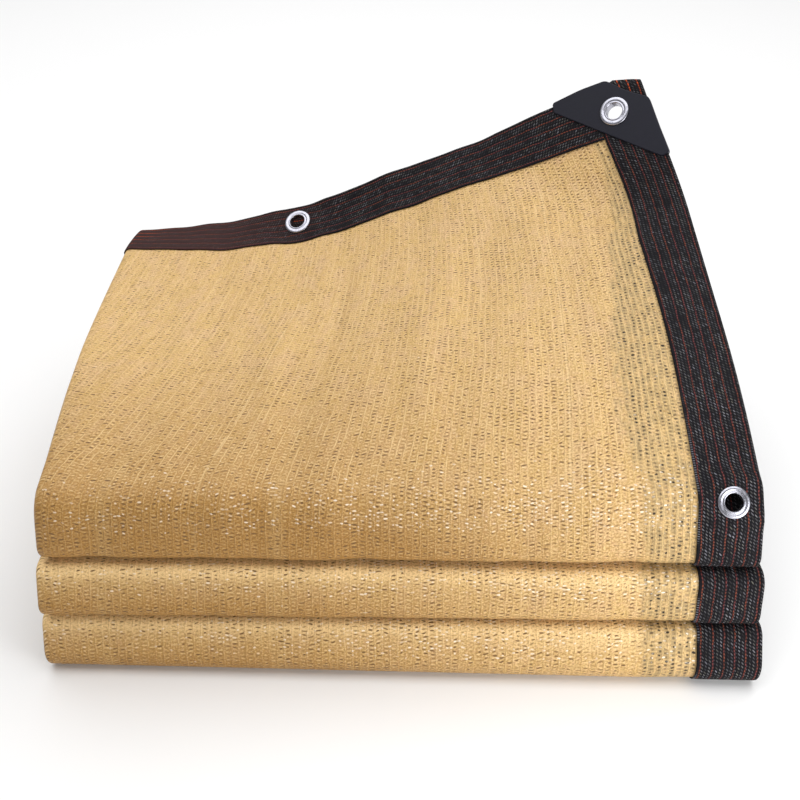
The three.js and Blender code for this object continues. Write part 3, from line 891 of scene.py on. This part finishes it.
def loose_knit(look, colour, x, y, loose):
    """The open band: light wales and courses over a thin ground, with holes and pinholes between them. Both
    are painted dark brown, as the shade seen through them.
    """
    knit = Cells(look, x, y, LOOSE_WALE_PITCH, COURSE_PITCH)
    thin = look.cloud(x, y, **THIN)
    ground = look.blend(thin * loose, colour, LOOSE_GREY)
    wale = (0.5 - abs(knit.x)).ramp(*LOOSE_WALE_EDGE) * abs(knit.y).ramp(*LOOSE_WALE_BEAD) * loose
    course = abs(knit.y).ramp(*LOOSE_COURSE) * knit.chance(*LOOSE_COURSE_SHOW) * loose
    colour = look.blend(wale.or_more(course), ground, LOOSE_LIGHT)
    show = knit.chance(*LOOSE_HOLE_SHOW) ** LOOSE_HOLE_POWER * (thin * 0.5 + 0.5)
    hole = knit.spot(LOOSE_HOLE) * show * loose
    # Painted shade: the holes are painted dark brown, as the shade seen through them
    colour = look.blend(hole, colour, HOLE_PAINTED_SHADE)
    between = Cells(look, x + LOOSE_WALE_PITCH / 2, y + COURSE_PITCH / 2, LOOSE_WALE_PITCH, COURSE_PITCH)
    pin = between.spot(LOOSE_PIN) * between.chance(LOOSE_PIN_SEED) ** LOOSE_PIN_POWER * loose
    return look.blend(pin, colour, STROKE_BROWN), hole


def net_look():
    look = Look("net_knit", SAND, 0.55, specular=0.35)
    x, y = look.cloth_place()
    x = look.sway(x, x, y, *SLOW_SWAY)
    x = look.sway(x, x, y, *QUICK_SWAY)
    y = look.sway(y, x, y, *ROW_SWAY)
    drift = y.ramp(*LOOSE_DRIFT_PANEL) + y.ramp(*LOOSE_DRIFT_ROLL)
    loose = (look.sway(abs(x), x, y, *LOOSE_EDGE_SWAY) - drift).ramp(*LOOSE_EDGE)
    on_rolls = y.ramp(*ROLLS_ALONG)
    _, back, up = look.frame_place()
    front, down, painted_light_top, rim = roll_shade(up, back)

    # The ground
    knit = Cells(look, x, y, WALE_PITCH, COURSE_PITCH)
    between = Cells(look, x, y + COURSE_PITCH / 2, WALE_PITCH, COURSE_PITCH)
    colour = look.blend(look.cloud(x, y, **STREAKS), SAND_DARK, SAND)
    for row in TINTS:
        share = look.cloud(x + row["shift"], y, row["size"], row["ramp"])
        colour = look.blend(share, colour, row["tint"])
    # Painted shade: darker towards the left of the panel and the first roll, and down each roll's front face
    deep = x.ramp(*SHADE_ACROSS) * y.ramp(*SHADE_ALONG) * y.ramp(*SHADE_PAST_ROLL_1)
    deep = deep + down * x.ramp(*FACE_SHADE_ACROSS)
    colour = look.blend(deep, colour, SAND_PAINTED_SHADE)
    # Painted light: the tops of the second and third rolls, just under the roll above, are painted lighter
    # against the shade there
    colour = look.blend(painted_light_top * x.ramp(*PAINTED_LIGHT_ACROSS), colour, SAND_PAINTED_LIGHT)
    for place in DARK_WALES:
        near = abs(x - place).ramp(*DARK_WALE_NEAR)
        colour = look.blend(near * y.ramp(*DARK_WALES_ALONG), colour, SAND_DARK)
    # Painted light: a thin lighter rim along the top of the second and third rolls, where the gap under the
    # roll above is in shade
    colour = look.blend(rim, colour, SAND_PAINTED_RIM_LIGHT)
    # Painted shade on the knit: within the painted shade on the rolls the dark strokes are darker and the
    # light marks fainter
    rolls_painted_shade = (deep * y.ramp(*PAINTED_SHADE_ALONG)).ramp(*PAINTED_SHADE_RAMP) * (1 - rim)
    lit = 1 - rolls_painted_shade * PAINTED_SHADE_SHARE
    dark = look.blend(rolls_painted_shade, STROKE_BROWN, STROKE_PAINTED_SHADE)
    grain = look.noise(x, y, *GRAIN)
    rough = x.ramp(*GRAIN_ACROSS)
    colour = look.blend(grain.ramp(*GRAIN_DARK) * rough, colour, dark)
    colour = look.blend(grain.ramp(*GRAIN_LIGHT) * rough * lit, colour, WALE_LIGHT)

    # The close knit
    stroke = knit.spot(DARK_STROKE) * (1 - loose)
    crowd = look.noise(x, y, *CROWD)
    share = crowd.ramp(*SLIT_CROWD) * x.ramp(*SLIT_ACROSS)
    slit = stroke * (knit.chance(SLIT_SEED) - share).ramp(*SLIT_EDGE) * knit.chance(*SLIT_SHOW)
    light_stroke = between.spot(LIGHT_STROKE) * between.chance(*LIGHT_STROKE_SHOW) * lit
    wale = (0.5 - abs(knit.x)).ramp(*WALE_EDGE) * abs(knit.y).ramp(*WALE_BEAD)
    wale_show = look.cloud(x, y, **WALE_SHOW) * (1 - on_rolls * WALE_FADE) * lit
    colour = look.blend(stroke * knit.chance(*DARK_STROKE_SHOW), colour, dark)
    colour = look.blend(light_stroke, colour, WALE_LIGHT)
    colour = look.blend(wale * wale_show, colour, WALE_LIGHT)
    # Painted shade: the slits are painted dark brown, as the shade seen through them
    colour = look.blend(slit, colour, SLIT_PAINTED_SHADE)
    colour, hole = loose_knit(look, colour, x, y, loose)
    bright_there = look.cloud(x, y, **BRIGHT_WALE_THERE)
    for place in BRIGHT_WALES:
        near = abs(x - place).ramp(*BRIGHT_WALE_NEAR)
        colour = look.blend(near * bright_there * (1 - on_rolls * BRIGHT_WALE_FADE), colour, WALE_LIGHT)

    # The painted glints on the rolls' shoulders
    normal = look.node("NewGeometry", output="Normal")
    faces = look.node("VectorMath", (normal, SHOULDER_FACES), "Value", operation="DOT_PRODUCT")
    shoulder = faces.ramp(*SHOULDER_RAMP) * on_rolls
    shoulder = shoulder.or_more(down.ramp(*SHOULDER_FACE) * front * on_rolls)
    painted_glint_share = shoulder * x.ramp(*FLECK_ACROSS) * crowd.ramp(*FLECK_CROWD)
    beside = Cells(look, x + WALE_PITCH / 2, y, WALE_PITCH, COURSE_PITCH)
    for cells, seed in zip((between, beside), FLECK_SEEDS):
        there = (cells.chance(seed) - painted_glint_share).ramp(*FLECK_EDGE)
        show = cells.chance(seed + FLECK_SHOW[0], *FLECK_SHOW[1:]) ** 2.0
        painted_glint = cells.spot(FLECK, seed) * there * show * x.ramp(*FLECK_SHOW_ACROSS)
        colour = look.blend(painted_glint, colour, GLINT_WHITE)
    look.set("Base Color", colour)
    look.set("Roughness", between.chance(*ROUGHNESS))

    height = wale * WALE_HIGH + light_stroke * LIGHT_HIGH - stroke * STROKE_DEPTH - slit * SLIT_DEPTH
    look.bump(height - hole * HOLE_DEPTH + grain * GRAIN_HIGH, KNIT_DEPTH)
    return look.material


# The hem tape: a dark ribbed knit with six orange red lines of stitching along it
TAPE_BLACK = (0.0075, 0.007, 0.009)
TAPE_GREY = (0.26, 0.26, 0.295)
TAPE_OLIVE = (0.14, 0.135, 0.11)
TAPE_RED = (0.215, 0.058, 0.034)
TAPE_ROSE = (0.17, 0.045, 0.045)
TAPE_TIP_RED = (0.6, 0.09, 0.022)
TAPE_BROWN = (0.055, 0.026, 0.024)

TAPE_LINES = (42.6, 34.2, 26.5, 19.3, 11.7, 3.7)  # distances from the hem's edge
LINE_SWAY_STRETCH = 0.2
LINE_SWAY = (30, 14, 2.0, 2)
LINE_TWITCH = (6, 1.5, 0.5)
LINE_EDGE = (0.62, 0.22)
STITCH_LENGTH = 2.4
STITCH_RAMP = (-1, 0.5, 0.22, 1)
LINE_WORN = dict(size=(5, 4, 2), ramp=(0.3, 0.6, 0.45, 1))
LINE_HUE_STRETCH = 3
LINE_HUE = dict(size=(12, 9, 2), ramp=(0.4, 0.6))
TIP_RED = (50, 20)
TAPE_KNIT_PITCH = 2.5
TAPE_DASH = dict(wide=(11, 0.24, 0.4), long=0.24, turn=0.9)
DASH_SHOW = (7, 0.1, 1)
DASH_OFF_LINE = (0.45, 0.9)
DASH_HUE_SEED = 51
DASH_NEAR = (0.0, -0.14, 0.5, 0.68)  # the dashes are lighter nearer to the front
DASH_SWAY = (10, 18, 1.6, 2)
DASH_LEAST = 0.1
TAPE_RIM = 43.2  # the rim beyond the last line has no dashes
TAPE_RIM_EASE = 0.6
FAR_ACROSS = (-0.04, -0.2)  # the back hem is browner at its far left
FAR_DEPTH = (0.1, 0.14)
FAR_SHARE = 0.7
TICK_PITCH = 1.8
TICK_RAMP = (0.2, 0.8)
TICK_RIM_EASE = 0.4
TICK_THERE = dict(size=(20, 30), ramp=(0.4, 0.6))
TICK_DEPTH = (-0.09, -0.15, 0, 0.6)
DASH_HIGH = 0.6
LINE_HIGH = 0.6
FUZZ_HIGH = 0.5
RIB_RAMP = (0.4, 2.5, 0, 0.8)
FUZZ_SIZE = 0.9
TAPE_DEPTH = 0.4


def tape_look():
    look = Look("tape_knit", TAPE_BLACK, 0.8, specular=0.12)
    x, y = look.cloth_place()
    right, back, _ = look.frame_place()
    line_x = look.sway(x, x * LINE_SWAY_STRETCH, y, *LINE_SWAY)
    line_x = look.sway(line_x, x, y, *LINE_TWITCH)
    nearest = abs(line_x - TAPE_LINES[0])
    for place in TAPE_LINES[1:]:
        nearest = nearest.or_less(abs(line_x - place))
    stitch = (y * (2 * math.pi / STITCH_LENGTH)).sine().ramp(*STITCH_RAMP)
    line = nearest.ramp(*LINE_EDGE) * stitch * look.cloud(x, y, **LINE_WORN)

    knit = Cells(look, x, y, TAPE_KNIT_PITCH, TAPE_KNIT_PITCH)
    dash = knit.spot(TAPE_DASH) * knit.chance(*DASH_SHOW) * nearest.ramp(*DASH_OFF_LINE)
    light = look.sway(back.ramp(*DASH_NEAR), x, y, *DASH_SWAY).or_more(DASH_LEAST)
    inside = x.ramp(TAPE_RIM, TAPE_RIM - TAPE_RIM_EASE)
    grey = look.blend(knit.chance(DASH_HUE_SEED), TAPE_GREY, TAPE_OLIVE)
    colour = look.blend(dash * light * inside, TAPE_BLACK, grey)
    far = right.ramp(*FAR_ACROSS) * back.ramp(*FAR_DEPTH)
    colour = look.blend(far * FAR_SHARE, colour, TAPE_BROWN)

    tick = (y * (2 * math.pi / TICK_PITCH)).sine().ramp(*TICK_RAMP)
    tick = tick * x.ramp(TAPE_RIM, TAPE_RIM + TICK_RIM_EASE) * look.cloud(x, y, **TICK_THERE)
    colour = look.blend(tick * back.ramp(*TICK_DEPTH), colour, TAPE_GREY)

    hue = look.cloud(x * LINE_HUE_STRETCH, y, **LINE_HUE)
    red = look.blend(hue, TAPE_RED, TAPE_ROSE)
    red = look.blend((y + x).ramp(*TIP_RED), red, TAPE_TIP_RED)
    look.set("Base Color", look.blend(line, colour, red))

    height = dash * DASH_HIGH + line * LINE_HIGH + nearest.ramp(*RIB_RAMP)
    look.bump(height + look.noise(x, y, FUZZ_SIZE, FUZZ_SIZE) * FUZZ_HIGH, TAPE_DEPTH)
    return look.material


# The hard fittings. Wear and grain are noises, as their scale and detail.
PLASTIC = dict(
    colour=(0.0095, 0.0100, 0.0180), worn=(0.0140, 0.0140, 0.0230), specular=0.2,
    wear=(60, 4), grain=(900, 2), worn_ramp=(0.35, 0.75), rough_ramp=(0.3, 0.7, 0.36, 0.52), deep=0.06,
)
METAL = dict(
    colour=(0.47, 0.47, 0.53), worn=(0.40, 0.40, 0.46), metallic=1.0,
    wear=(350, 3), grain=(350, 3), worn_ramp=(0.4, 0.8), rough_ramp=(0.35, 0.7, 0.24, 0.38), deep=0.008,
)


def worn_look(name, colour, worn, wear, grain, worn_ramp, rough_ramp, deep, metallic=0.0, specular=0.5):
    look = Look(name, colour, rough_ramp[2], metallic, specular)
    place = look.node("TexCoord", output="Object")
    inputs = [{"Vector": place, "Scale": scale, "Detail": detail} for scale, detail in (wear, grain)]
    wear, grain = (look.node("TexNoise", row) for row in inputs)
    look.set("Roughness", wear.ramp(*rough_ramp))
    look.set("Base Color", look.blend(wear.ramp(*worn_ramp), colour, worn))
    look.bump(grain, deep)
    return look.material


net_material = net_look()
tape_material = tape_look()
plastic_material = worn_look("corner_plastic", **PLASTIC)
metal_material = worn_look("eyelet_metal", **METAL)


# The net
NET_UPPER_STEP = 2.6
NET_LOWER_STEP = 7.0
NET_ROW_STEP = 3.4
NET_BEND_STEPS = 11

# The wales stand closer at the back edge than at the rolls, so those at the left lean
FAN_SHARE = 0.23
FAN_PEAK = 350.0
FAN_END = 410.0
FAN_UNDER = 300  # how far under the fold the lower sheet's wales become even again


def wale_place(across, along):
    """The place across the net, counted in wales, in millimetres as they stand at the rolls."""
    rising_part = np.minimum(along, FAN_PEAK) ** 2 / (2 * FAN_PEAK)
    over = np.clip(along - FAN_PEAK, 0, FAN_END - FAN_PEAK)
    falling_part = over - over ** 2 / (2 * (FAN_END - FAN_PEAK))
    closer = np.exp(FAN_SHARE * (1 - (rising_part + falling_part) / (FAN_END / 2))) - 1
    inner = HALF_WIDTH - NET_EDGE
    under = inner * (1 - smooth_step(0, FAN_UNDER, -across))
    return across - closer * np.where(across > 0, inner - across, under)


def net_piece():
    inner = HALF_WIDTH - NET_EDGE
    upper = np.linspace(inner, FOLD_REACH, int(inner / NET_UPPER_STEP))
    lower = np.linspace(FOLD_REACH, inner, int(inner / NET_LOWER_STEP))
    panel = panel_rows(NET_EDGE, NET_ROW_STEP)
    rows = rising(panel, rows_after_panel(NET_BEND_STEPS), end_rows(NET_EDGE - 1))
    grid = ClothGrid(rows, upper, FOLD_ANGLES, lower)
    along = grid.along() + NET_EDGE
    across = wale_place(np.broadcast_to(grid.across, along.shape), along)
    coordinates = np.stack([across, along], -1).reshape(-1, 2)
    faces = grid_faces(*along.shape)
    net = new_object("shade_net", to_scene(grid.uneven(along)), faces)
    return dressed(net, net_material, coordinates[faces.ravel()])


# The tapes
FACE_STEPS = [44.3, 42, 38, 34, 30, 26, 22.5, 19, 15, 11, 7, 4, 2.2]  # points of a face, from the hem's edge
FACE_CHAMFER = 0.25
SLOT_ROOM = 0.05
ROUND_STEPS = 7
TAPE_ROW_STEP = 5
TAPE_BEND_STEPS = 9
TIP_ROWS = panel_station(np.array([0, 4, 9, 16, 24, 32.0]))
END_TAPE_UPPER_COLUMNS = 110
END_TAPE_LOWER_COLUMNS = 60
TIP_SHOWS = 23.0  # how much of the tip's width the plastic leaves free
TIP_FREE_SKEW = 5.6
TIP_EASE = (1, 5)
RAGGED_WAVES = table("high turns start", (0.12, 1.9, 0), (0.08, 3.7, 1))


def tape_section():
    """The folded tape's section as distance inward from the hem's edge, and out from its middle."""
    half = TAPE_THICK / 2
    slot = NET_THICK / 2 + SLOT_ROOM
    slot_end = NET_EDGE - GAP
    angles = np.linspace(0, math.pi, ROUND_STEPS)
    round_edge = [(half - half * math.sin(t), half * math.cos(t)) for t in angles]
    top = [(TAPE_WIDTH, half - FACE_CHAMFER)] + [(x, half) for x in FACE_STEPS]
    bottom = [(x, -y) for x, y in top[::-1]]
    inner = [(TAPE_WIDTH, -slot), (slot_end, -slot), (slot_end, slot), (TAPE_WIDTH, slot)]
    return np.array(top + round_edge + bottom + inner)


def tape_piece(name, rings, inward, along, cutters):
    """A closed tape from rings of points round its section, with flat ends and its holes."""
    coordinates = np.stack(np.broadcast_arrays(inward, along), -1).reshape(-1, 2)
    faces = tube_faces(*rings.shape[:2])
    piece = new_object(name, to_scene(rings), faces)
    dressed(piece, tape_material, coordinates[np.concatenate(faces)])
    return cut(face_out(piece, split_last=2), cutters)


def side_tape(name, side, cutters=()):
    section, out = tape_section().T
    inward = np.unique(section)
    columns = HALF_WIDTH - inward
    panel = panel_rows(NET_EDGE, TAPE_ROW_STEP)
    rows = rising(TIP_ROWS, panel, rows_after_panel(TAPE_BEND_STEPS), end_rows(-1))
    grid = ClothGrid(rows, upper=columns) if side > 0 else ClothGrid(rows, lower=columns)
    along = grid.along()
    points = grid.uneven(along)
    column_of = np.searchsorted(inward, section)
    rings = points[:, column_of] + grid.normals[:, column_of] * out[:, None]
    # The first ring is the askew cut end
    ahead = unit(points[0, column_of] - points[1, column_of])
    rings[0] += ahead * (tip_length(section) * ragged(section))[:, None]
    return tape_piece(name, rings, section, along[:, :1], cutters)


def tip_length(inward):
    """How far the askew cut end reaches past the corner. Under the plastic it is shorter."""
    free = TIP_FREE_SKEW * np.minimum(inward / TIP_SHOWS, 1)
    start, end = (TIP_SHOWS + ease for ease in TIP_EASE)
    return free + (TIP_SKEW * inward / TAPE_WIDTH - free) * smooth_step(start, end, inward)


def ragged(inward):
    return 1 + sum(wave["high"] * np.sin(inward * wave["turns"] + wave["start"]) for wave in RAGGED_WAVES)


def end_tape(name, station_at, cutters=()):
    section, out = tape_section().T
    inward = np.unique(section)
    start = HALF_WIDTH - TAPE_WIDTH - GAP
    upper = np.linspace(start, FOLD_REACH, END_TAPE_UPPER_COLUMNS)
    lower = np.linspace(FOLD_REACH, start, END_TAPE_LOWER_COLUMNS)
    order = np.argsort(station_at(inward))
    grid = ClothGrid(station_at(inward)[order], upper, FOLD_ANGLES, lower)
    points = grid.uneven(np.broadcast_to(inward[order][:, None], grid.points.shape[:2]))
    row_of = np.argsort(order)[np.searchsorted(inward, section)]
    rings = points[row_of] + grid.normals[row_of] * out[:, None, None]
    return tape_piece(name, np.transpose(rings, (1, 0, 2)), section, grid.across[:, None], cutters)


# Frames at the eyelets
FRAME_REACH = 4


def frame_at(place):
    sides = (-FRAME_REACH, FRAME_REACH)
    left, right = (sheet_point(1, place["across"] + by, place["station"]) for by in sides)
    ahead = right - left
    z = place["normal"]
    x = unit(ahead - z * (ahead @ z))
    y = np.cross(z, x)
    return np.stack([x, y, z], axis=1), place["centre"]


def from_frame(place, points):
    axes, centre = frame_at(place)
    return np.asarray(points) @ axes.T + centre


def barrel_radius(place):
    return place["rim"] * EYELET_HOLE_SHARE + EYELET_BARREL


# The plastic corner is laid out on the hem, in the corner eyelet's frame
PATCH_OUTLINE = table(
    "from_right from_back soft",
    (-PATCH_WALL, 17, 3),
    (14, 8, 10),
    (23, -1, 8),
    (PATCH_TIP_CUT, -PATCH_REACH, 3),
    (50, -5, 5),
    (PATCH_LEG_BACK, -2.5, 2.5),
    (PATCH_LEG_BACK + 2, 6, 2.5),
    (6, PATCH_LEG_RIGHT, 3),
    (-PATCH_WALL, PATCH_LEG_RIGHT - 3, 3),
    (-PATCH_WALL, 45, 5),
)
ROOM_END = 110
ROOM_FOR_TAPES = table(
    "from_right from_back",
    (-GAP, -TIP_SKEW - GAP),
    (TAPE_WIDTH + 2, -TIP_SKEW - GAP),
    (TAPE_WIDTH + 2, -GAP),
    (65, -GAP),
    (ROOM_END, -GAP),
    (ROOM_END, ROOM_END),
    (-GAP, ROOM_END),
    (-GAP, 60),
    (-GAP, 30),
)
PATCH_CLEARANCE = 0.08
PATCH_EDGE = table("below_face inset", (0, 0.7), (0.2, 0.22), (0.7, 0))  # of both faces
SOFT_STEPS = 5
SOFT_MOST = 0.45  # of the way to the next corner
HOLE_SIDES = 40


def laid_out(rows):
    """Places on the hem in the corner eyelet's frame."""
    axes, centre = frame_at(EYELETS["corner"])
    from_right, from_back = np.array([(row["from_right"], row["from_back"]) for row in rows], float).T
    point = sheet_point(1, HALF_WIDTH - from_right, panel_station(from_back))
    return ((point - centre) @ axes)[..., :2]


def softened(corners, softness):
    """A closed outline with each corner rounded by a curve that starts and ends softness away from it."""
    outline = []
    for i, (corner, soft) in enumerate(zip(corners, softness)):
        start, end = (
            corner + unit(other - corner) * min(soft, SOFT_MOST * np.linalg.norm(other - corner))
            for other in (corners[i - 1], corners[(i + 1) % len(corners)])
        )
        for k in np.linspace(0, 1, SOFT_STEPS):
            outline.append((1 - k) ** 2 * start + 2 * k * (1 - k) * corner + k * k * end)
    return np.array(outline)


def inset(outline, by):
    """The outline moved inward by a small distance."""
    ahead = unit(np.roll(outline, -1, axis=0) - np.roll(outline, 1, axis=0))
    normal = np.stack([-ahead[:, 1], ahead[:, 0]], -1)
    area = np.cross(outline, np.roll(outline, -1, axis=0)).sum()
    return outline + normal * by * np.sign(area)


def prism(name, outline, levels, place):
    """A closed solid from an outline. levels are pairs of height and inset, from the bottom to the top."""
    rings = []
    for height, by in levels:
        ring = inset(outline, by) if by else outline
        rings.append(np.column_stack([ring, np.full(len(outline), height)]))
    points = from_frame(place, np.concatenate(rings))
    return face_out(new_object(name, to_scene(points), tube_faces(len(levels), len(outline))))


def hole_cutter(place):
    angles = np.arange(HOLE_SIDES) * 2 * math.pi / HOLE_SIDES
    circle = (barrel_radius(place) + HOLE_EXTRA) * np.stack([np.cos(angles), np.sin(angles)], -1)
    return prism("cutter", circle, [(-2 * TAPE_THICK, 0), (2 * TAPE_THICK, 0)], place)


def corner_patch():
    place = EYELETS["corner"]
    outline = softened(laid_out(PATCH_OUTLINE), [row["soft"] for row in PATCH_OUTLINE])
    top = TAPE_THICK / 2 + GAP + PATCH_THICK
    edge = [(top - row["below_face"], row["inset"]) for row in PATCH_EDGE]
    patch = prism("plastic_corner", outline, [(-z, by) for z, by in edge] + edge[::-1], place)
    hollow = TAPE_THICK / 2 + PATCH_CLEARANCE
    room = prism("cutter", laid_out(ROOM_FOR_TAPES), [(-hollow, 0), (hollow, 0)], place)
    cut(patch, [room, hole_cutter(place)])
    return dressed(patch, plastic_material, smooth=False)


# Eyelets
EYELET_SIDES = 72
EYELET_BACK_SHARE = 0.8  # of the flange, behind the tape
# The section: a radius out from the hole, the barrel or the rim, and a height up from a level
EYELET_SECTION = [
    ("hole", 0, "back", 0.3), ("hole", 0.5, "back", 0), ("rim", -1.4, "back", 0),
    ("rim", -0.5, "back", 0.25), ("rim", -0.2, "back", 0.7), ("rim", -0.5, "under", -0.02),
    ("barrel", 0, "under", -0.02),
    ("barrel", 0, "over", 0.02), ("rim", -0.3, "over", 0.02), ("rim", -0.02, "over", 0.3),
    ("rim", -0.1, "top", -0.75), ("rim", -0.45, "top", -0.4), ("rim", -1.1, "top", -0.12),
    ("rim", -1.9, "top", 0), ("hole", 2.5, "top", -0.06), ("hole", 2.0, "top", -0.3),
    ("hole", 1.7, "top", -0.42), ("hole", 1.4, "top", -0.25), ("hole", 1.1, "top", 0.1),
    ("hole", 0.7, "top", 0.18), ("hole", 0.35, "top", 0.05), ("hole", 0.08, "top", -0.35),
    ("hole", 0, "top", -1.0), ("hole", 0, "back", 1.2),
]


def eyelet(name, place, clamped):
    seat = clamped / 2
    barrel = barrel_radius(place)
    start = dict(
        hole=barrel - EYELET_BARREL, barrel=barrel, rim=place["rim"], under=-seat, over=seat,
        back=-seat - GAP - EYELET_BACK_SHARE * EYELET_FLANGE, top=seat + GAP + EYELET_FLANGE,
    )
    radius, height = np.array([(start[a] + out, start[b] + up) for a, out, b, up in EYELET_SECTION]).T
    angles = np.arange(EYELET_SIDES)[:, None] * 2 * math.pi / EYELET_SIDES
    rings = vector(radius * np.cos(angles), radius * np.sin(angles), height)
    faces = grid_faces(EYELET_SIDES, len(EYELET_SECTION), around=True, rows_around=True)
    piece = new_object(name, to_scene(from_frame(place, rings.reshape(-1, 3))), faces)
    return face_out(dressed(piece, metal_material))


# The pieces
net = net_piece()
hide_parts("net")
tapes = [
    side_tape("upper_side_tape", 1, [hole_cutter(EYELETS["corner"]), hole_cutter(EYELETS["front"])]),
    side_tape("lower_side_tape", -1),
    end_tape("top_end_tape", panel_station, [hole_cutter(EYELETS["back"])]),
    end_tape("bottom_end_tape", end_station),
]
for tape, node in zip(tapes, ("side_tape_upper", "side_tape_lower", "end_tape_top", "end_tape_bottom")):
    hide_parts(node)
patch = corner_patch()
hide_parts("corner_patch")
rings = [
    eyelet("corner_eyelet", EYELETS["corner"], TAPE_THICK + 2 * PATCH_WALL),
    eyelet("back_eyelet", EYELETS["back"], TAPE_THICK),
    eyelet("front_eyelet", EYELETS["front"], TAPE_THICK),
]
for ring, node in zip(rings, ("eyelet_corner", "eyelet_back", "eyelet_front")):
    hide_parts(node)


# The studio, in metres
FLOOR_HALF = 6.0
FLOOR_WHITE = (0.9, 0.9, 0.9)
WORLD_STRENGTH = 0.26
SOFTBOXES = [
    dict(name="overhead", place=(0.0, 0.7, 2.6), target=(0.0, 0.5, 0.0), size=4.4, power=117),
    dict(name="right", place=(0.62, -0.72, 0.24), target=(0.05, -0.15, 0.1), size=0.4, power=4.6),
]


def softbox(name, place, target, size, power):
    data = bpy.data.lights.new(name, "AREA")
    data.energy = power
    data.size = size
    lamp = bpy.data.objects.new(name, data)
    lamp.location = place
    lamp.rotation_euler = (Vector(target) - Vector(place)).to_track_quat("-Z", "Y").to_euler()
    bpy.context.scene.collection.objects.link(lamp)


def studio():
    corners = [(-1, -1, 0), (1, -1, 0), (1, 1, 0), (-1, 1, 0)]
    floor = new_object("floor", FLOOR_HALF * np.array(corners), [(0, 1, 2, 3)])
    floor.data.materials.append(Look("floor_white", FLOOR_WHITE, 0.9).material)
    world = bpy.data.worlds.new("studio")
    world.use_nodes = True
    background = world.node_tree.nodes["Background"]
    background.inputs["Color"].default_value = (1, 1, 1, 1)
    background.inputs["Strength"].default_value = WORLD_STRENGTH
    bpy.context.scene.world = world
    for row in SOFTBOXES:
        softbox(**row)


studio()
bpy.context.scene.view_settings.view_transform = "Standard"
